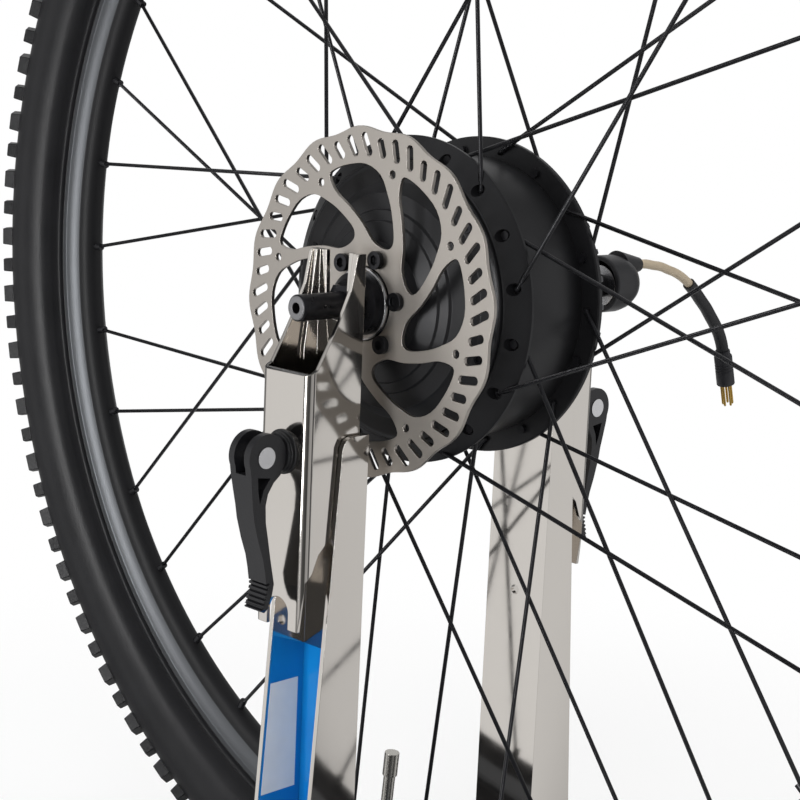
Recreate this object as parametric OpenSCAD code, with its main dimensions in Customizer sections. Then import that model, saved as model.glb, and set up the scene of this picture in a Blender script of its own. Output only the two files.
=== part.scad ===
// Rear e-bike wheel with a hub motor, held in a workshop truing stand.
// X runs along the wheel axle: the disc side is -X, the sprocket side is +X.
// Z is up, and the origin is on the bench under the middle of the hub.

/* [Wheel] */
// Bead seat diameter of the rim
rim_bsd = 584; // [560:1:600]
// Height of the rim lip above the bead seat
rim_lip_h = 6.5; // [5:0.5:7]
// Outer width of the rim
rim_w = 23; // [22.6:0.1:26]
// Height of the flat side wall of the rim
rim_flat = 3.2; // [3:0.1:3.6]
// Depth of the rim from lip to crest
rim_depth = 17.4; // [17:0.1:18.4]
// Wall thickness of the rim section
rim_wall = 1.6; // [1.4:0.1:2]
// Width of the tyre casing
tyre_w = 53.5; // [50:0.5:58]
// Thickness of the tyre casing
casing_t = 3; // [2.5:0.5:4]
// Height of the tread knobs
tread_h = 5.25; // [4:0.25:6]
// Knob pairs round one shoulder of the tyre
knob_n = 62; // [56:1:68]
// Diameter of a spoke
spoke_d = 2; // [1.8:0.1:2.3]
// Spokes on each side of the wheel
spoke_n = 18; // [14:1:18]
// Angle between a spoke's hub hole and its nipple
spoke_lead = 40; // [30:1:45]

/* [Hub motor] */
// Distance between the two locknut faces
old_w = 135; // [133:1:138]
// Radius of the hub flanges
flange_r = 76.2; // [75:0.2:80]
// Thickness of a spoke flange
flange_t = 3.2; // [3:0.1:3.6]
// Distance from a flange's edge to its spoke holes
hole_edge = 6.2; // [5.8:0.1:6.6]
// Distance from each locknut face to the nearer spoke flange
flange_inset = 43.7; // [43:0.1:45]
// Radius of the motor barrel between the flanges
barrel_r = 68; // [66:0.5:68]
// Wall of the hub shell
shell_t = 6; // [4:0.5:7]
// Diameter of the threaded axle ends
axle_d = 12; // [10:0.5:12]
// Diameter of the axle inside the motor
axle_core_d = 17; // [17:0.5:20]

/* [Brake rotor] */
// Nominal diameter of the brake rotor
rotor_d = 160; // [158:1:163]
// Thickness of the rotor
rotor_t = 1.9; // [1.6:0.1:2.2]
// Distance from the rotor face to the locknut face
rotor_inset = 15.3; // [14.5:0.1:16]
// Lobes round the rotor edge
rotor_lobes = 16; // [12:1:18]
// Slots round the brake track
rotor_slots = 48; // [42:3:48]
// Arms between the rotor's inner and outer rings
rotor_arms = 8; // [6:1:8]
// Diameter of the rotor bolt circle
bolt_pcd = 44; // [43:0.5:45]

/* [Cassette] */
// Chain pitch
chain_p = 12.7; // [12.5:0.1:12.9]
// Distance from one sprocket to the next
cog_step = 4.35; // [4.2:0.05:4.4]
// Thickness of a sprocket
cog_t = 1.8; // [1.6:0.1:2]
// Distance from the motor's drive cover to the largest sprocket
cog_gap = 2; // [2:0.1:2.4]

/* [Stand] */
// Gap between the tyre and the bench
wheel_gap = 47; // [44:1:60]
// How far an upright's inner face lies inside the locknut face
upright_inset = 3.2; // [2:0.1:3.6]
// Width of an upright
upright_w = 38; // [36:1:42]
// Thickness of an upright's sheet
upright_t = 2.5; // [2:0.1:3]
// Depth of an upright's flanges at its top
upright_d = 15.6; // [14:0.2:18]
// Growth of the flanges' depth for each millimetre downwards
upright_taper = 0.072; // [0.05:0.002:0.08]
// How far an upright's top lies below the axle
upright_drop = 56.4; // [54:0.2:58]
// Width of an extension
ext_w = 32; // [30:0.5:32.5]
// Thickness of an extension's sheet
ext_t = 2; // [1.6:0.1:2.4]
// Distance from the locknut face out to an extension's outer face
ext_reach = 31.5; // [30:0.5:33.5]
// How far the clamp skewer lies below the axle
skewer_drop = 63.5; // [62:0.5:68]
// Diameter of the clamp skewer
skewer_d = 6; // [5:0.5:6.5]
// Radius of a clamp lever's cam
lever_r = 10.5; // [10:0.1:10.6]
// Length of a clamp lever from its pin to its tip
lever_l = 71; // [66:1:76]

/* [Base] */
// Length of the base across the stand
base_l = 300; // [280:2:340]
// Width of the base's raised channel
base_w = 190; // [170:2:220]
// Height of the base's top face
base_h = 34; // [32:1:36]
// Thickness of the base's sheet
base_t = 3; // [2.5:0.5:4]
// Width of the base's bolting flanges
base_lip = 30; // [28:1:40]
// Height of the rubber feet
foot_h = 4; // [3:0.5:6]
// Diameter of the bench bolt holes
bench_hole_d = 8; // [6:0.5:10]
// Height of the uprights' hinge pins above the bench
hinge_h = 60; // [58:1:64]
// Distance from an upright's inner face to its hinge pin
hinge_inset = 10.7; // [10:0.1:12]
// Diameter of a hinge pin
hinge_d = 8; // [6:0.5:10]
// Height of the width screw above the bench
screw_h = 18; // [17:0.5:20]
// Diameter of the width screw
screw_d = 8; // [6:0.5:8]

/* [Motor cable] */
// Diameter of the motor cable
cable_d = 5; // [4.5:0.1:5.5]
// Diameter of the sleeve over the cable
sleeve_d = 7; // [6.5:0.1:8]
// Diameter of the connector
plug_d = 10.4; // [9.5:0.1:11]
// Outer radius of the rubber boot
boot_r = 15; // [14:0.5:16]

/* [Hidden] */
$fn = 64;

// Clearances
run_gap = 0.05;
fit_gap = 0.1;
seat_gap = 0.3;

// Rim section: its crest is a round nose
rim_r = rim_bsd / 2 + rim_lip_h;
crest_r = rim_r - rim_depth;
nose_r = 7;
nose_c = crest_r + nose_r;
bed_r = rim_bsd / 2 - 3;
bed_w = 11;
tape_t = 0.6;
bead_seat_x = rim_w / 2 - rim_wall - 2.2;
bead_seat_h = 3.5;
nipple_d = 4;
nipple_r0 = crest_r - 5;
nipple_r1 = crest_r + rim_wall + 3.2;
valve_d = 6;
valve_angle = -85;

// Tyre section
casing_r = tyre_w / 2;
casing_c = rim_r + 22.5;
tube_t = 1;
tube_r = casing_r - casing_t - 0.8;
bead_x = rim_w / 2 - rim_wall - 0.2;
bead_t = 3.5;
axle_h = casing_c + casing_r + tread_h + wheel_gap;

// Spokes: the left flange's holes lie half a step from the right one's
lace_step = 360 / spoke_n;
lace_start = 9.7;
left_hole_a = lace_start + spoke_lead;
right_hole_a = left_hole_a - lace_step / 2;
head_r = spoke_d / 2 + 1.1;
head_h = 0.9;
thread_l = 3;

// Motor: every station along the axle is counted from a locknut face
hole_circle_r = flange_r - hole_edge;
flange_x = old_w / 2 - flange_inset;
shell_r = barrel_r - shell_t;
cover_x = flange_x + 6.2;
magnet_x = flange_x - 8.8;
magnet_t = 4;
core_x = flange_x - 9.8;
core_r = shell_r - magnet_t - 1;
core_bore_r = 34;
step_r = [50, 42, 37];
screw_circle_r = 58;
cover_screw_r = 2.2;
cover_screw_h = 1.3;
bearing_r = 17.5;
bearing_w = 10;
locknut_r = 10;
cap_r = 14.5;
ring_r = 16.8;
axle_left = old_w / 2 + 26.5;
axle_right = old_w / 2 + 61.5;
nut_x = old_w / 2 + 51.5;
boot_x = old_w / 2 + 48.5;
axle_bore = 5;
rotor_x = old_w / 2 - rotor_inset;
rotor_seat_r = 27;
ring_x = rotor_x + rotor_t / 2 + 0.5;
rotor_bolt_a = 52;
rotor_bolt_n = 6;
seat_x = rotor_x - rotor_t / 2;
step_x = seat_x - 10;
bearing_x = seat_x - 2 - bearing_w;
drive_bearing_x = cover_x - 2 - bearing_w;
sleeve_r = 12;
freehub_r = 16.4;
spline_h = 0.9;
spline_n = 9;
cog_teeth = [34, 28, 24, 21, 18, 15, 13, 11];
cog_a0 = 4;
cog_x0 = cover_x + cog_gap;
cog_end = cog_x0 + (len(cog_teeth) - 1) * cog_step + cog_t / 2;

// Upright and extension, measured from the locknut face, the hinge and the axle
upright_x = old_w / 2 - upright_inset;
ext_x = old_w / 2 + ext_reach;
hinge_x = upright_x + hinge_inset;
upright_top = axle_h - upright_drop;
upright_foot = 10;
hinge_gap = 0.6;
ear_x = 15;
tail_edge = hinge_x + 20;
peep_hole_d = 5;
peep_drop = 155;
knob_gap = 8;
knob_t = 18;
bracket_x = old_w / 2 + fit_gap;
bracket_t = 2.5;
bracket_w = ext_w - 2 * ext_t;
slot_r = axle_d / 2 + seat_gap;
slot_mouth = 1;
prong_h = 24.4;
ext_foot = -144;
prong_y = 13;
notch_r = 7;
skewer_z = axle_h - skewer_drop;
cam_shift = 0.8;
pin_x = ext_x + 15.3;
pin_d = 9.5;
fork_w = 14;
nut_d = 15;
web_hole = 14;

// Motor cable: its route in the wheel's middle plane, counted from the end of the boot
cable_exit = [old_w / 2 + 82.5, 0, axle_h + 10];
cable_path = [
    [0, 0, 0], [7, 0, 0], [14, 0, -1], [21, 0, -2], [28, 0, -4], [35, 0, -6], [42, 0, -9], [48, 0, -12.5],
    [54, 0, -17], [60, 0, -22], [66, 0, -27], [71, 0, -32], [75.5, 0, -36.5], [79.5, 0, -41],
    [82.5, 0, -45.5], [85, 0, -50.5], [86.5, 0, -55.5]
];
cable_route = [for (p = cable_path) cable_exit + p];
sleeve_from = 7;
plug_l = 18;
plug_neck_l = 3;
contact_r = 2.8;
contact_d = 1.4;
contact_l = 13;

// ---------- outlines and sweeps ----------

// A list of [radius, x] points followed by its mirror image in x
function both(p) = concat(p, [for (i = [len(p) - 1:-1:0]) [p[i][0], -p[i][1]]]);

// A unit vector
function unit(v) = v / norm(v);

// Revolves a [radius, x] section about the axle
module revolved(sides = 96) {
    translate([0, 0, axle_h]) rotate([0, 90, 0]) rotate_extrude($fn = sides) children();
}

// Stands a [y, z] outline up as a plate that starts at x0
module plate(x0, t) {
    translate([x0, 0, 0]) rotate([90, 0, 90]) linear_extrude(t) children();
}

// A plate whose outline is drawn round the axle
module axle_plate(x0, t) {
    translate([0, 0, axle_h]) plate(x0, t) children();
}

// A cylinder along X whose axis is at [y, z]
module xbar(x0, x1, r, y = 0, z = axle_h, sides = 48) {
    translate([x0, y, z]) rotate([0, 90, 0]) cylinder(h = x1 - x0, r = r, $fn = sides);
}

// A cylinder along Y whose axis is at [x, z]
module ybar(x, z, y0, y1, r) {
    translate([x, y1, z]) rotate([90, 0, 0]) cylinder(h = y1 - y0, r = r, $fn = 48);
}

// A cylinder from one point to another
module rod(a, b, r, sides = 24) {
    v = b - a;
    translate(a)
        rotate([0, acos(v[2] / norm(v)), atan2(v[1], v[0])])
            cylinder(h = norm(v), r = r, $fn = sides);
}

// Puts a right-hand piece on the left as well
module sided(left) {
    if (left) mirror([1, 0, 0]) children();
    else children();
}

// A tube of radius r swept along points in the plane y = 0
module swept(route, r, sides) {
    n = len(route);
    dirs = [for (i = [0:n - 1]) unit(route[min(i + 1, n - 1)] - route[max(i - 1, 0)])];
    pts = [for (i = [0:n - 1], k = [0:sides - 1])
        let (a = 360 * k / sides, across = [-dirs[i][2], 0, dirs[i][0]])
            route[i] + r * (cos(a) * [0, 1, 0] + sin(a) * across)];
    skin = [for (i = [0:n - 2], k = [0:sides - 1])
        [i * sides + k, i * sides + (k + 1) % sides,
         (i + 1) * sides + (k + 1) % sides, (i + 1) * sides + k]];
    near_end = [for (k = [sides - 1:-1:0]) k];
    far_end = [for (k = [0:sides - 1]) (n - 1) * sides + k];
    polyhedron(pts, concat([near_end], skin, [far_end]));
}

// ---------- rim, tyre and tube ----------

// Half of the rim's outer outline, from its well to its crest
function rim_half() = concat([
    [bed_r, bed_w / 2], [rim_bsd / 2, bed_w / 2 + 1], [rim_bsd / 2, bead_seat_x],
    [rim_bsd / 2 + bead_seat_h, rim_w / 2 - rim_wall], [rim_r, rim_w / 2 - rim_wall],
    [rim_r, rim_w / 2], [rim_r - rim_flat, rim_w / 2],
    [rim_r - rim_flat - 0.6, rim_w / 2 - 0.6]],
    [for (a = [0:10:80.1]) [nose_c - nose_r * sin(a), nose_r * cos(a)]]);

// Half of the closed chamber inside the rim
function chamber_half() = [for (a = [8:9:80.1])
    let (r = nose_r - rim_wall) [nose_c - r * sin(a), r * cos(a)]];

// The hub end and the rim end of spoke i on one side (left is -1)
function hub_end(side, i) =
    let (a = (side < 0 ? left_hole_a : right_hole_a) + i * lace_step,
         out = (i % 2 == 0 ? 1 : -1) * side)
        [side * flange_x + out * (flange_t / 2 + spoke_d / 2), hole_circle_r * cos(a),
         axle_h + hole_circle_r * sin(a)];
function rim_end(side, i, r) =
    let (lead = (i % 2 == 0 ? 1 : -1) * spoke_lead,
         a = (side < 0 ? left_hole_a : right_hole_a) + i * lace_step - lead)
        [0, r * cos(a), axle_h + r * sin(a)];

module rim() {
    color("#232325") difference() {
        revolved(128) difference() {
            polygon(both(rim_half()));
            polygon(both(chamber_half()));
        }
        for (side = [-1, 1], i = [0:spoke_n - 1])
            rod(rim_end(side, i, nipple_r0), rim_end(side, i, bed_r + 1), nipple_d / 2 + fit_gap);
        translate([0, 0, axle_h]) rotate([valve_angle - 90, 0, 0])
            cylinder(h = rim_r, r = valve_d / 2 + fit_gap, $fn = 32);
    }
}

module rim_tape() {
    color("#3a3a3c") difference() {
        revolved(128) translate([bed_r + run_gap, -bed_w / 2 + fit_gap]) square([tape_t, bed_w - 2 * fit_gap]);
        translate([0, 0, axle_h]) rotate([valve_angle - 90, 0, 0])
            cylinder(h = rim_r, r = valve_d / 2 + fit_gap, $fn = 32);
    }
}

module tyre_casing() {
    inner = casing_r - casing_t;
    mouth = -acos((bead_x - 2) / inner);
    outer = asin((rim_r + 2 - casing_c) / casing_r);
    half = concat(
        [[rim_bsd / 2 + 0.2, bead_x - bead_t], [rim_bsd / 2 + 0.2, bead_seat_x - 0.1],
         [rim_bsd / 2 + bead_seat_h + 0.1, bead_x], [rim_r + 0.4, bead_x],
         [rim_r + 0.6, rim_w / 2 + 1.5], [rim_r + 1.6, rim_w / 2 + 2.5]],
        [for (a = [outer:(90 - outer) / 10:90.1]) [casing_c + casing_r * sin(a), casing_r * cos(a)]]);
    bore = [for (a = [90:(mouth - 90) / 14:mouth - 0.1]) [casing_c + inner * sin(a), inner * cos(a)]];
    polygon(concat(
        [for (p = half) p], [for (i = [len(half) - 2:-1:0]) [half[i][0], -half[i][1]]],
        [for (i = [len(bore) - 1:-1:1]) [bore[i][0], -bore[i][1]]], bore));
}

// The band of rubber that one row of knobs is cut from, between two angles from the crown
module knob_band(a0, a1) {
    low = casing_r - 1;
    high = casing_r + tread_h;
    mid = (a0 + a1) / 2;
    polygon(concat(
        [for (a = [a0, mid, a1]) [casing_c + low * cos(a), low * sin(a)]],
        [for (a = [a1, mid, a0]) [casing_c + high * cos(a), high * sin(a)]]));
}

// A ring of knobs: a fill share of each step, turned by a share of a step
module knobs(a0, a1, fill, turn) {
    step = 360 / knob_n;
    half = step * fill / 2;
    intersection() {
        revolved() knob_band(a0, a1);
        axle_plate(-tyre_w, 2 * tyre_w)
            for (i = [0:knob_n - 1])
                let (a = (i + turn) * step)
                    polygon([
                        crest_r * [cos(a - half), sin(a - half)], 1.5 * rim_r * [cos(a - half), sin(a - half)],
                        1.5 * rim_r * [cos(a + half), sin(a + half)], crest_r * [cos(a + half), sin(a + half)]]);
    }
}

module tyre() {
    color("#2b2b2d") {
        revolved() tyre_casing();
        for (side = [-1, 1]) {
            knobs(side * 34, side * 56, 0.30, 0);
            knobs(side * 38, side * 54, 0.24, 0.5);
        }
        knobs(4, 18, 0.26, 0.25);
        knobs(-18, -4, 0.26, 0.25);
        knobs(-9, 9, 0.22, 0.75);
    }
}

module inner_tube() {
    color("#1c1c1c") revolved() translate([casing_c, 0]) difference() {
        circle(r = tube_r, $fn = 48);
        circle(r = tube_r - tube_t, $fn = 48);
    }
}

module valve() {
    top = casing_c - tube_r - fit_gap;
    stem = crest_r - 34;
    color("#8f8f8f") translate([0, 0, axle_h]) rotate([valve_angle - 90, 0, 0]) {
        translate([0, 0, stem]) cylinder(h = top - stem, r = valve_d / 2, $fn = 32);
        translate([0, 0, stem - 12]) cylinder(h = 12.5, r = 3.8, $fn = 32);
        translate([0, 0, crest_r - 2.5]) cylinder(h = 2, r = 5, $fn = 6);
    }
}

// ---------- spokes and nipples ----------

module spokes(side) {
    for (i = [0:spoke_n - 1]) {
        hub = hub_end(side, i);
        out = (i % 2 == 0 ? 1 : -1) * side;
        head = hub - [out * (flange_t + spoke_d), 0, 0];
        rod(hub, rim_end(side, i, nipple_r0 + thread_l), spoke_d / 2);
        rod(head, hub, spoke_d / 2 + run_gap);
        translate(hub) sphere(r = spoke_d / 2 + 0.2, $fn = 24);
        rod(head - [out * head_h, 0, 0], head + [out * (spoke_d / 2 - 0.2), 0, 0], head_r);
    }
}

module left_spokes() { color("#1f1f20") spokes(-1); }

module right_spokes() { color("#1f1f20") spokes(1); }

module nipples() {
    color("#3c3c3e") for (side = [-1, 1], i = [0:spoke_n - 1]) {
        low = rim_end(side, i, nipple_r0);
        high = rim_end(side, i, nipple_r1);
        difference() {
            union() {
                rod(low, high, nipple_d / 2);
                rod(high - 2.2 * unit(high - low), high, nipple_d / 2 + 0.7);
            }
            rod(hub_end(side, i), rim_end(side, i, nipple_r0 + thread_l + 0.2), spoke_d / 2 + fit_gap, 24);
        }
    }
}

// ---------- hub motor ----------

module hub_shell() {
    t = flange_t;
    x = flange_x;
    left_band = [[barrel_r - 1.5, -x - 7.5], [flange_r - 1, -x - t / 2 + 0.3], [flange_r, -x - t / 2 + 1.3],
                 [flange_r, -x + t / 2 - 0.6], [flange_r - 0.6, -x + t / 2]];
    right_band = [[flange_r - 0.6, x - t / 2], [flange_r, x - t / 2 + 0.6], [flange_r, x + t / 2 - 0.6],
                  [flange_r - 0.6, x + t / 2], [barrel_r - 1, x + t / 2], [barrel_r - 2, cover_x - 1]];
    barrel = [for (s = [-1:0.2:1.01]) [barrel_r - 1.6 * s * s, s * (x - t / 2)]];
    color("#262628") difference() {
        revolved() polygon(concat(
            [[shell_r, -cover_x], [barrel_r - 2.5, -cover_x], [barrel_r - 2.5, -x - 7.5]], left_band,
            [[barrel_r - 1.6, -x + t / 2]], [for (p = barrel) p],
            [[barrel_r - 1.6, x - t / 2]], right_band, [[shell_r, cover_x - 1]]));
        for (side = [-1, 1], i = [0:spoke_n - 1]) {
            a = (side < 0 ? left_hole_a : right_hole_a) + i * lace_step;
            hole_y = hole_circle_r * cos(a);
            hole_z = axle_h + hole_circle_r * sin(a);
            xbar(side * x - 6, side * x + 6, spoke_d / 2 + 0.3, hole_y, hole_z, 24);
            if (side < 0) xbar(-x - 12, -x - t / 2, 2.8, hole_y, hole_z, 24);
            out = hub_end(side, i);
            if (i % 2 == 0)
                rod(out, out + 12 * unit(rim_end(side, i, nipple_r0) - out), spoke_d / 2 + seat_gap);
        }
    }
}

// The motor's cover on the brake side, with the seat for the rotor
module disc_cover() {
    lip = barrel_r - 3;
    color("#2a2a2c") difference() {
        revolved() polygon([
            [lip, -cover_x], [lip, -cover_x - 2.5], [lip - 3, -cover_x - 4], [lip - 10, -cover_x - 4],
            [step_r[0] + 0.6, -step_x + 3.75], [step_r[0], -step_x + 2.75], [step_r[1] + 0.6, -step_x + 1.75],
            [step_r[1], -step_x + 0.25], [step_r[2] + 0.6, -step_x - 0.75], [step_r[2], -step_x - 1.95],
            [rotor_seat_r + 1, -step_x - 4.25], [rotor_seat_r, -seat_x], [bearing_r - 2, -seat_x],
            [bearing_r - 2, -seat_x + 2], [bearing_r, -seat_x + 2], [bearing_r, -bearing_x],
            [bearing_r + 4, -bearing_x], [bearing_r + 4, -step_x + 0.75], [step_r[2] - 1, -step_x + 2.75],
            [step_r[0], -cover_x - 1], [shell_r - 3, -cover_x - 0.5], [shell_r - 3, -cover_x + 4],
            [shell_r - fit_gap, -cover_x + 4], [shell_r - fit_gap, -cover_x]]);
        for (i = [0:rotor_bolt_n - 1]) {
            a = rotor_bolt_a + i * 360 / rotor_bolt_n;
            xbar(-seat_x - 1, -seat_x + 8, 2.5, bolt_pcd / 2 * cos(a), axle_h + bolt_pcd / 2 * sin(a), 24);
        }
        screw_seats(-cover_x - 4 + cover_screw_h - 0.3, -1);
    }
}

// The motor's cover on the sprocket side, with the sleeve that carries the freehub
module drive_cover() {
    lip = barrel_r - 3;
    bore = axle_core_d / 2 + 0.5;
    color("#2a2a2c") difference() {
        revolved() polygon([
            [shell_r - 3, cover_x - 5], [shell_r - fit_gap, cover_x - 5], [shell_r - fit_gap, cover_x - 1],
            [lip, cover_x - 1], [lip, cover_x + 0.3], [bearing_r + 3, cover_x + 0.3], [sleeve_r, cover_x + 1],
            [sleeve_r, old_w / 2 - 5], [bore, old_w / 2 - 5], [bore, cover_x - 2],
            [bearing_r, cover_x - 2], [bearing_r, drive_bearing_x],
            [bearing_r + 4, drive_bearing_x], [bearing_r + 4, cover_x - 5], [step_r[0], cover_x - 3.5],
            [shell_r - 3, cover_x - 3]]);
        screw_seats(cover_x + 0.3 - cover_screw_h - fit_gap, 1);
    }
}

// Pockets for the cover screws: they open outwards from a floor at x
module screw_seats(x, side) {
    for (i = [0:5])
        let (a = 20 + i * 60)
            xbar(min(x, x + side * 4), max(x, x + side * 4), cover_screw_r + fit_gap,
                 screw_circle_r * cos(a), axle_h + screw_circle_r * sin(a), 24);
}

// Socket screws round the edge of each cover
module cover_screws() {
    color("#4a4a4c") for (side = [-1, 1], i = [0:5]) {
        a = 20 + i * 60;
        seat = side < 0 ? -cover_x - 4 + cover_screw_h - 0.3 : cover_x + 0.3 - cover_screw_h - fit_gap;
        top = seat + side * cover_screw_h;
        y = screw_circle_r * cos(a);
        z = axle_h + screw_circle_r * sin(a);
        difference() {
            xbar(min(seat, top), max(seat, top), cover_screw_r, y, z, 24);
            xbar(min(top - side * 0.8, top + side), max(top - side * 0.8, top + side), 1.2, y, z, 6);
        }
    }
}

module magnet_ring() {
    color("#6a6a6c") revolved()
        translate([shell_r - magnet_t, -magnet_x]) square([magnet_t, 2 * magnet_x]);
}

// Two sealed ball bearings: outer ring, shield and inner ring in one section
module bearing_section(x0) {
    r0 = axle_core_d / 2 + run_gap;
    polygon([[r0, x0], [r0 + 2.4, x0], [r0 + 2.4, x0 + 0.6], [bearing_r - 2.4, x0 + 0.6],
             [bearing_r - 2.4, x0], [bearing_r, x0], [bearing_r, x0 + bearing_w],
             [bearing_r - 2.4, x0 + bearing_w], [bearing_r - 2.4, x0 + bearing_w - 0.6],
             [r0 + 2.4, x0 + bearing_w - 0.6], [r0 + 2.4, x0 + bearing_w], [r0, x0 + bearing_w]]);
}

module hub_bearings() {
    color("#b8b8ba") {
        revolved(64) bearing_section(-seat_x + 2);
        revolved(64) bearing_section(drive_bearing_x);
    }
}

module stator() {
    teeth = 18;
    slot_l = core_r - core_bore_r - 11.5;
    hub = axle_core_d / 2 + 5.5;
    web = 4;
    end = drive_bearing_x - 6;
    color("#7a4a2a") axle_plate(-core_x, 2 * core_x) difference() {
        circle(r = core_r, $fn = 96);
        circle(r = core_bore_r, $fn = 64);
        for (i = [0:teeth - 1])
            rotate(i * 360 / teeth) translate([core_r - slot_l - 1.5, -2.4]) square([slot_l, 4.8]);
    }
    color("#8a8a8c") revolved(64) polygon([
        [axle_core_d / 2, -end], [hub, -end], [hub, -web], [core_bore_r + 1, -web], [core_bore_r + 1, web],
        [hub, web], [hub, end], [axle_core_d / 2, end]]);
}

module axle() {
    core = axle_core_d / 2;
    r = axle_d / 2;
    color("#2f2f31") revolved(64) polygon([
        [axle_bore / 2, -axle_left], [r - 1, -axle_left], [r, -axle_left + 1], [r, -ring_x], [core, -ring_x],
        [core, cover_x - 1], [r, cover_x - 1], [r, axle_right - 1], [r - 1, axle_right],
        [axle_bore / 2, axle_right]]);
}

// The locknuts that the dropouts bear on
module axle_locknuts() {
    r = axle_d / 2;
    color("#1d1d1f") {
        revolved(64) polygon([
            [r, -old_w / 2 + 5.5], [cap_r - 3, -old_w / 2 + 5.5], [cap_r, -old_w / 2 + 8],
            [cap_r, -ring_x - 1.6], [r, -ring_x - 1.6]]);
        axle_plate(-old_w / 2, 5.5) difference() {
            circle(r = locknut_r, $fn = 6);
            circle(r = r, $fn = 64);
        }
        axle_plate(old_w / 2 - 4.5, 4.5) difference() {
            circle(r = locknut_r, $fn = 6);
            circle(r = r, $fn = 64);
        }
    }
}

module axle_washers() {
    r = axle_d / 2;
    color("#c9c9cc") {
        revolved(64) polygon([[r, -ring_x - 1.6], [ring_r - 0.5, -ring_x - 1.6], [ring_r, -ring_x - 1.1],
                              [ring_r, -ring_x], [r, -ring_x]]);
        revolved(64) polygon([[r, nut_x - 1.5], [11, nut_x - 1.5], [11, nut_x], [r, nut_x]]);
    }
}

// The wheel nut on the cable side
module axle_nut() {
    color("#d0d0d3") axle_plate(nut_x, 6) difference() {
        circle(r = 9.6, $fn = 6);
        circle(r = axle_d / 2, $fn = 64);
    }
}

// ---------- brake rotor ----------

// One window between two arms, as [radius, angle from the arm's outer end]
window = [[61.4, 5.8], [63.2, 10], [63.3, 19], [62.8, 29], [59, 38], [52, 44.5], [45, 51], [36, 60],
          [31.6, 62], [29, 58],
          [28, 49], [29.5, 38], [36.5, 26], [45, 15], [53, 7.5]];
rotor_wave = 1;
rotor_edge_r = rotor_d / 2 - rotor_wave;
rotor_web_r = 61.5;
rotor_arm_a = 14.7;
rotor_lobe_a = 17.4;
track_slot_a = 7.6;
track_slot_r = rotor_edge_r - 10.8;
track_slot_w = 3.8;
track_slot_l = [5.4, 6.8, 7.6];
track_slot_lean = 27;

// A smooth closed curve through points, with k steps between neighbours
function smooth(p, k) = let (n = len(p)) [for (i = [0:n - 1], j = [0:k - 1])
    let (t = j / k, a = p[(i + n - 1) % n], b = p[i], c = p[(i + 1) % n], d = p[(i + 2) % n])
        0.5 * (2 * b + t * (c - a) + t * t * (2 * a - 5 * b + 4 * c - d) + t * t * t * (3 * b - a - 3 * c + d))];

// The wavy outer edge
module rotor_edge() {
    n = rotor_lobes * 12;
    polygon([for (i = [0:n - 1])
        let (a = 360 * i / n, r = rotor_edge_r + rotor_wave * cos(rotor_lobes * (a - rotor_lobe_a)))
            r * [cos(a), sin(a)]]);
}

module brake_rotor() {
    color("#c4c3c0") axle_plate(-rotor_x - rotor_t / 2, rotor_t) difference() {
        rotor_edge();
        for (i = [0:rotor_arms - 1])
            rotate(rotor_arm_a + i * 360 / rotor_arms)
                polygon(smooth([for (p = window) p[0] * [cos(p[1]), sin(p[1])]], 3));
        circle(r = ring_r + 0.4, $fn = 64);
        for (i = [0:rotor_slots - 1])
            rotate(track_slot_a + i * 360 / rotor_slots)
            translate([track_slot_r, 0]) rotate(-track_slot_lean) {
                l = track_slot_l[i % 3];
                translate([0, -track_slot_w / 2]) square([l, track_slot_w]);
                for (x = [0, l]) translate([x, 0]) circle(r = track_slot_w / 2, $fn = 20);
            }
        for (i = [0:rotor_arms - 1])
            rotate(rotor_arm_a + i * 360 / rotor_arms) translate([rotor_web_r - 0.5, 0]) circle(r = 1.9, $fn = 20);
        for (i = [0:rotor_bolt_n - 1])
            rotate(rotor_bolt_a + i * 360 / rotor_bolt_n) translate([bolt_pcd / 2, 0]) circle(r = 2.7, $fn = 24);
    }
}

module rotor_bolts() {
    face = -rotor_x - rotor_t / 2;
    color("#161617") for (i = [0:rotor_bolt_n - 1]) {
        a = rotor_bolt_a + i * 360 / rotor_bolt_n;
        translate([face, bolt_pcd / 2 * cos(a), axle_h + bolt_pcd / 2 * sin(a)]) rotate([0, -90, 0])
            difference() {
                union() {
                    cylinder(h = 2.6, r = 4.2, $fn = 32);
                    translate([0, 0, -9]) cylinder(h = 9.5, r = 2.5, $fn = 24);
                }
                translate([0, 0, 0.8]) cylinder(h = 3, r = 2.4, $fn = 6);
            }
    }
}

// ---------- freehub and sprockets ----------

// The splined bore or boss that the sprockets share
module spline(r, grow) {
    circle(r = r + grow, $fn = 64);
    for (i = [0:spline_n - 1])
        rotate(i * 360 / spline_n) translate([0, -1.6 - grow]) square([r + spline_h + grow, 3.2 + 2 * grow]);
}

module freehub_body() {
    color("#8c8c8f") difference() {
        union() {
            axle_plate(cog_x0 - 0.4, cog_end - cog_x0 + 0.4) spline(freehub_r, 0);
            xbar(cog_x0 - 0.6, cog_end + 0.4, freehub_r - 1);
        }
        xbar(cog_x0 - 2, cog_end + 2, sleeve_r + run_gap);
    }
}

// A sprocket's outline: a root arc and a pointed tooth at each chain pitch
module cog_outline(teeth) {
    pr = chain_p / (2 * sin(180 / teeth));
    step = 360 / teeth;
    polygon([for (i = [0:teeth - 1], p = [[-0.30, -2.6], [-0.16, -3.9], [0.16, -3.9], [0.30, -2.6],
                                          [0.42, 1.9], [0.58, 1.9]])
        let (a = (i + p[0]) * step + cog_a0) (pr + p[1]) * [cos(a), sin(a)]]);
}

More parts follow.
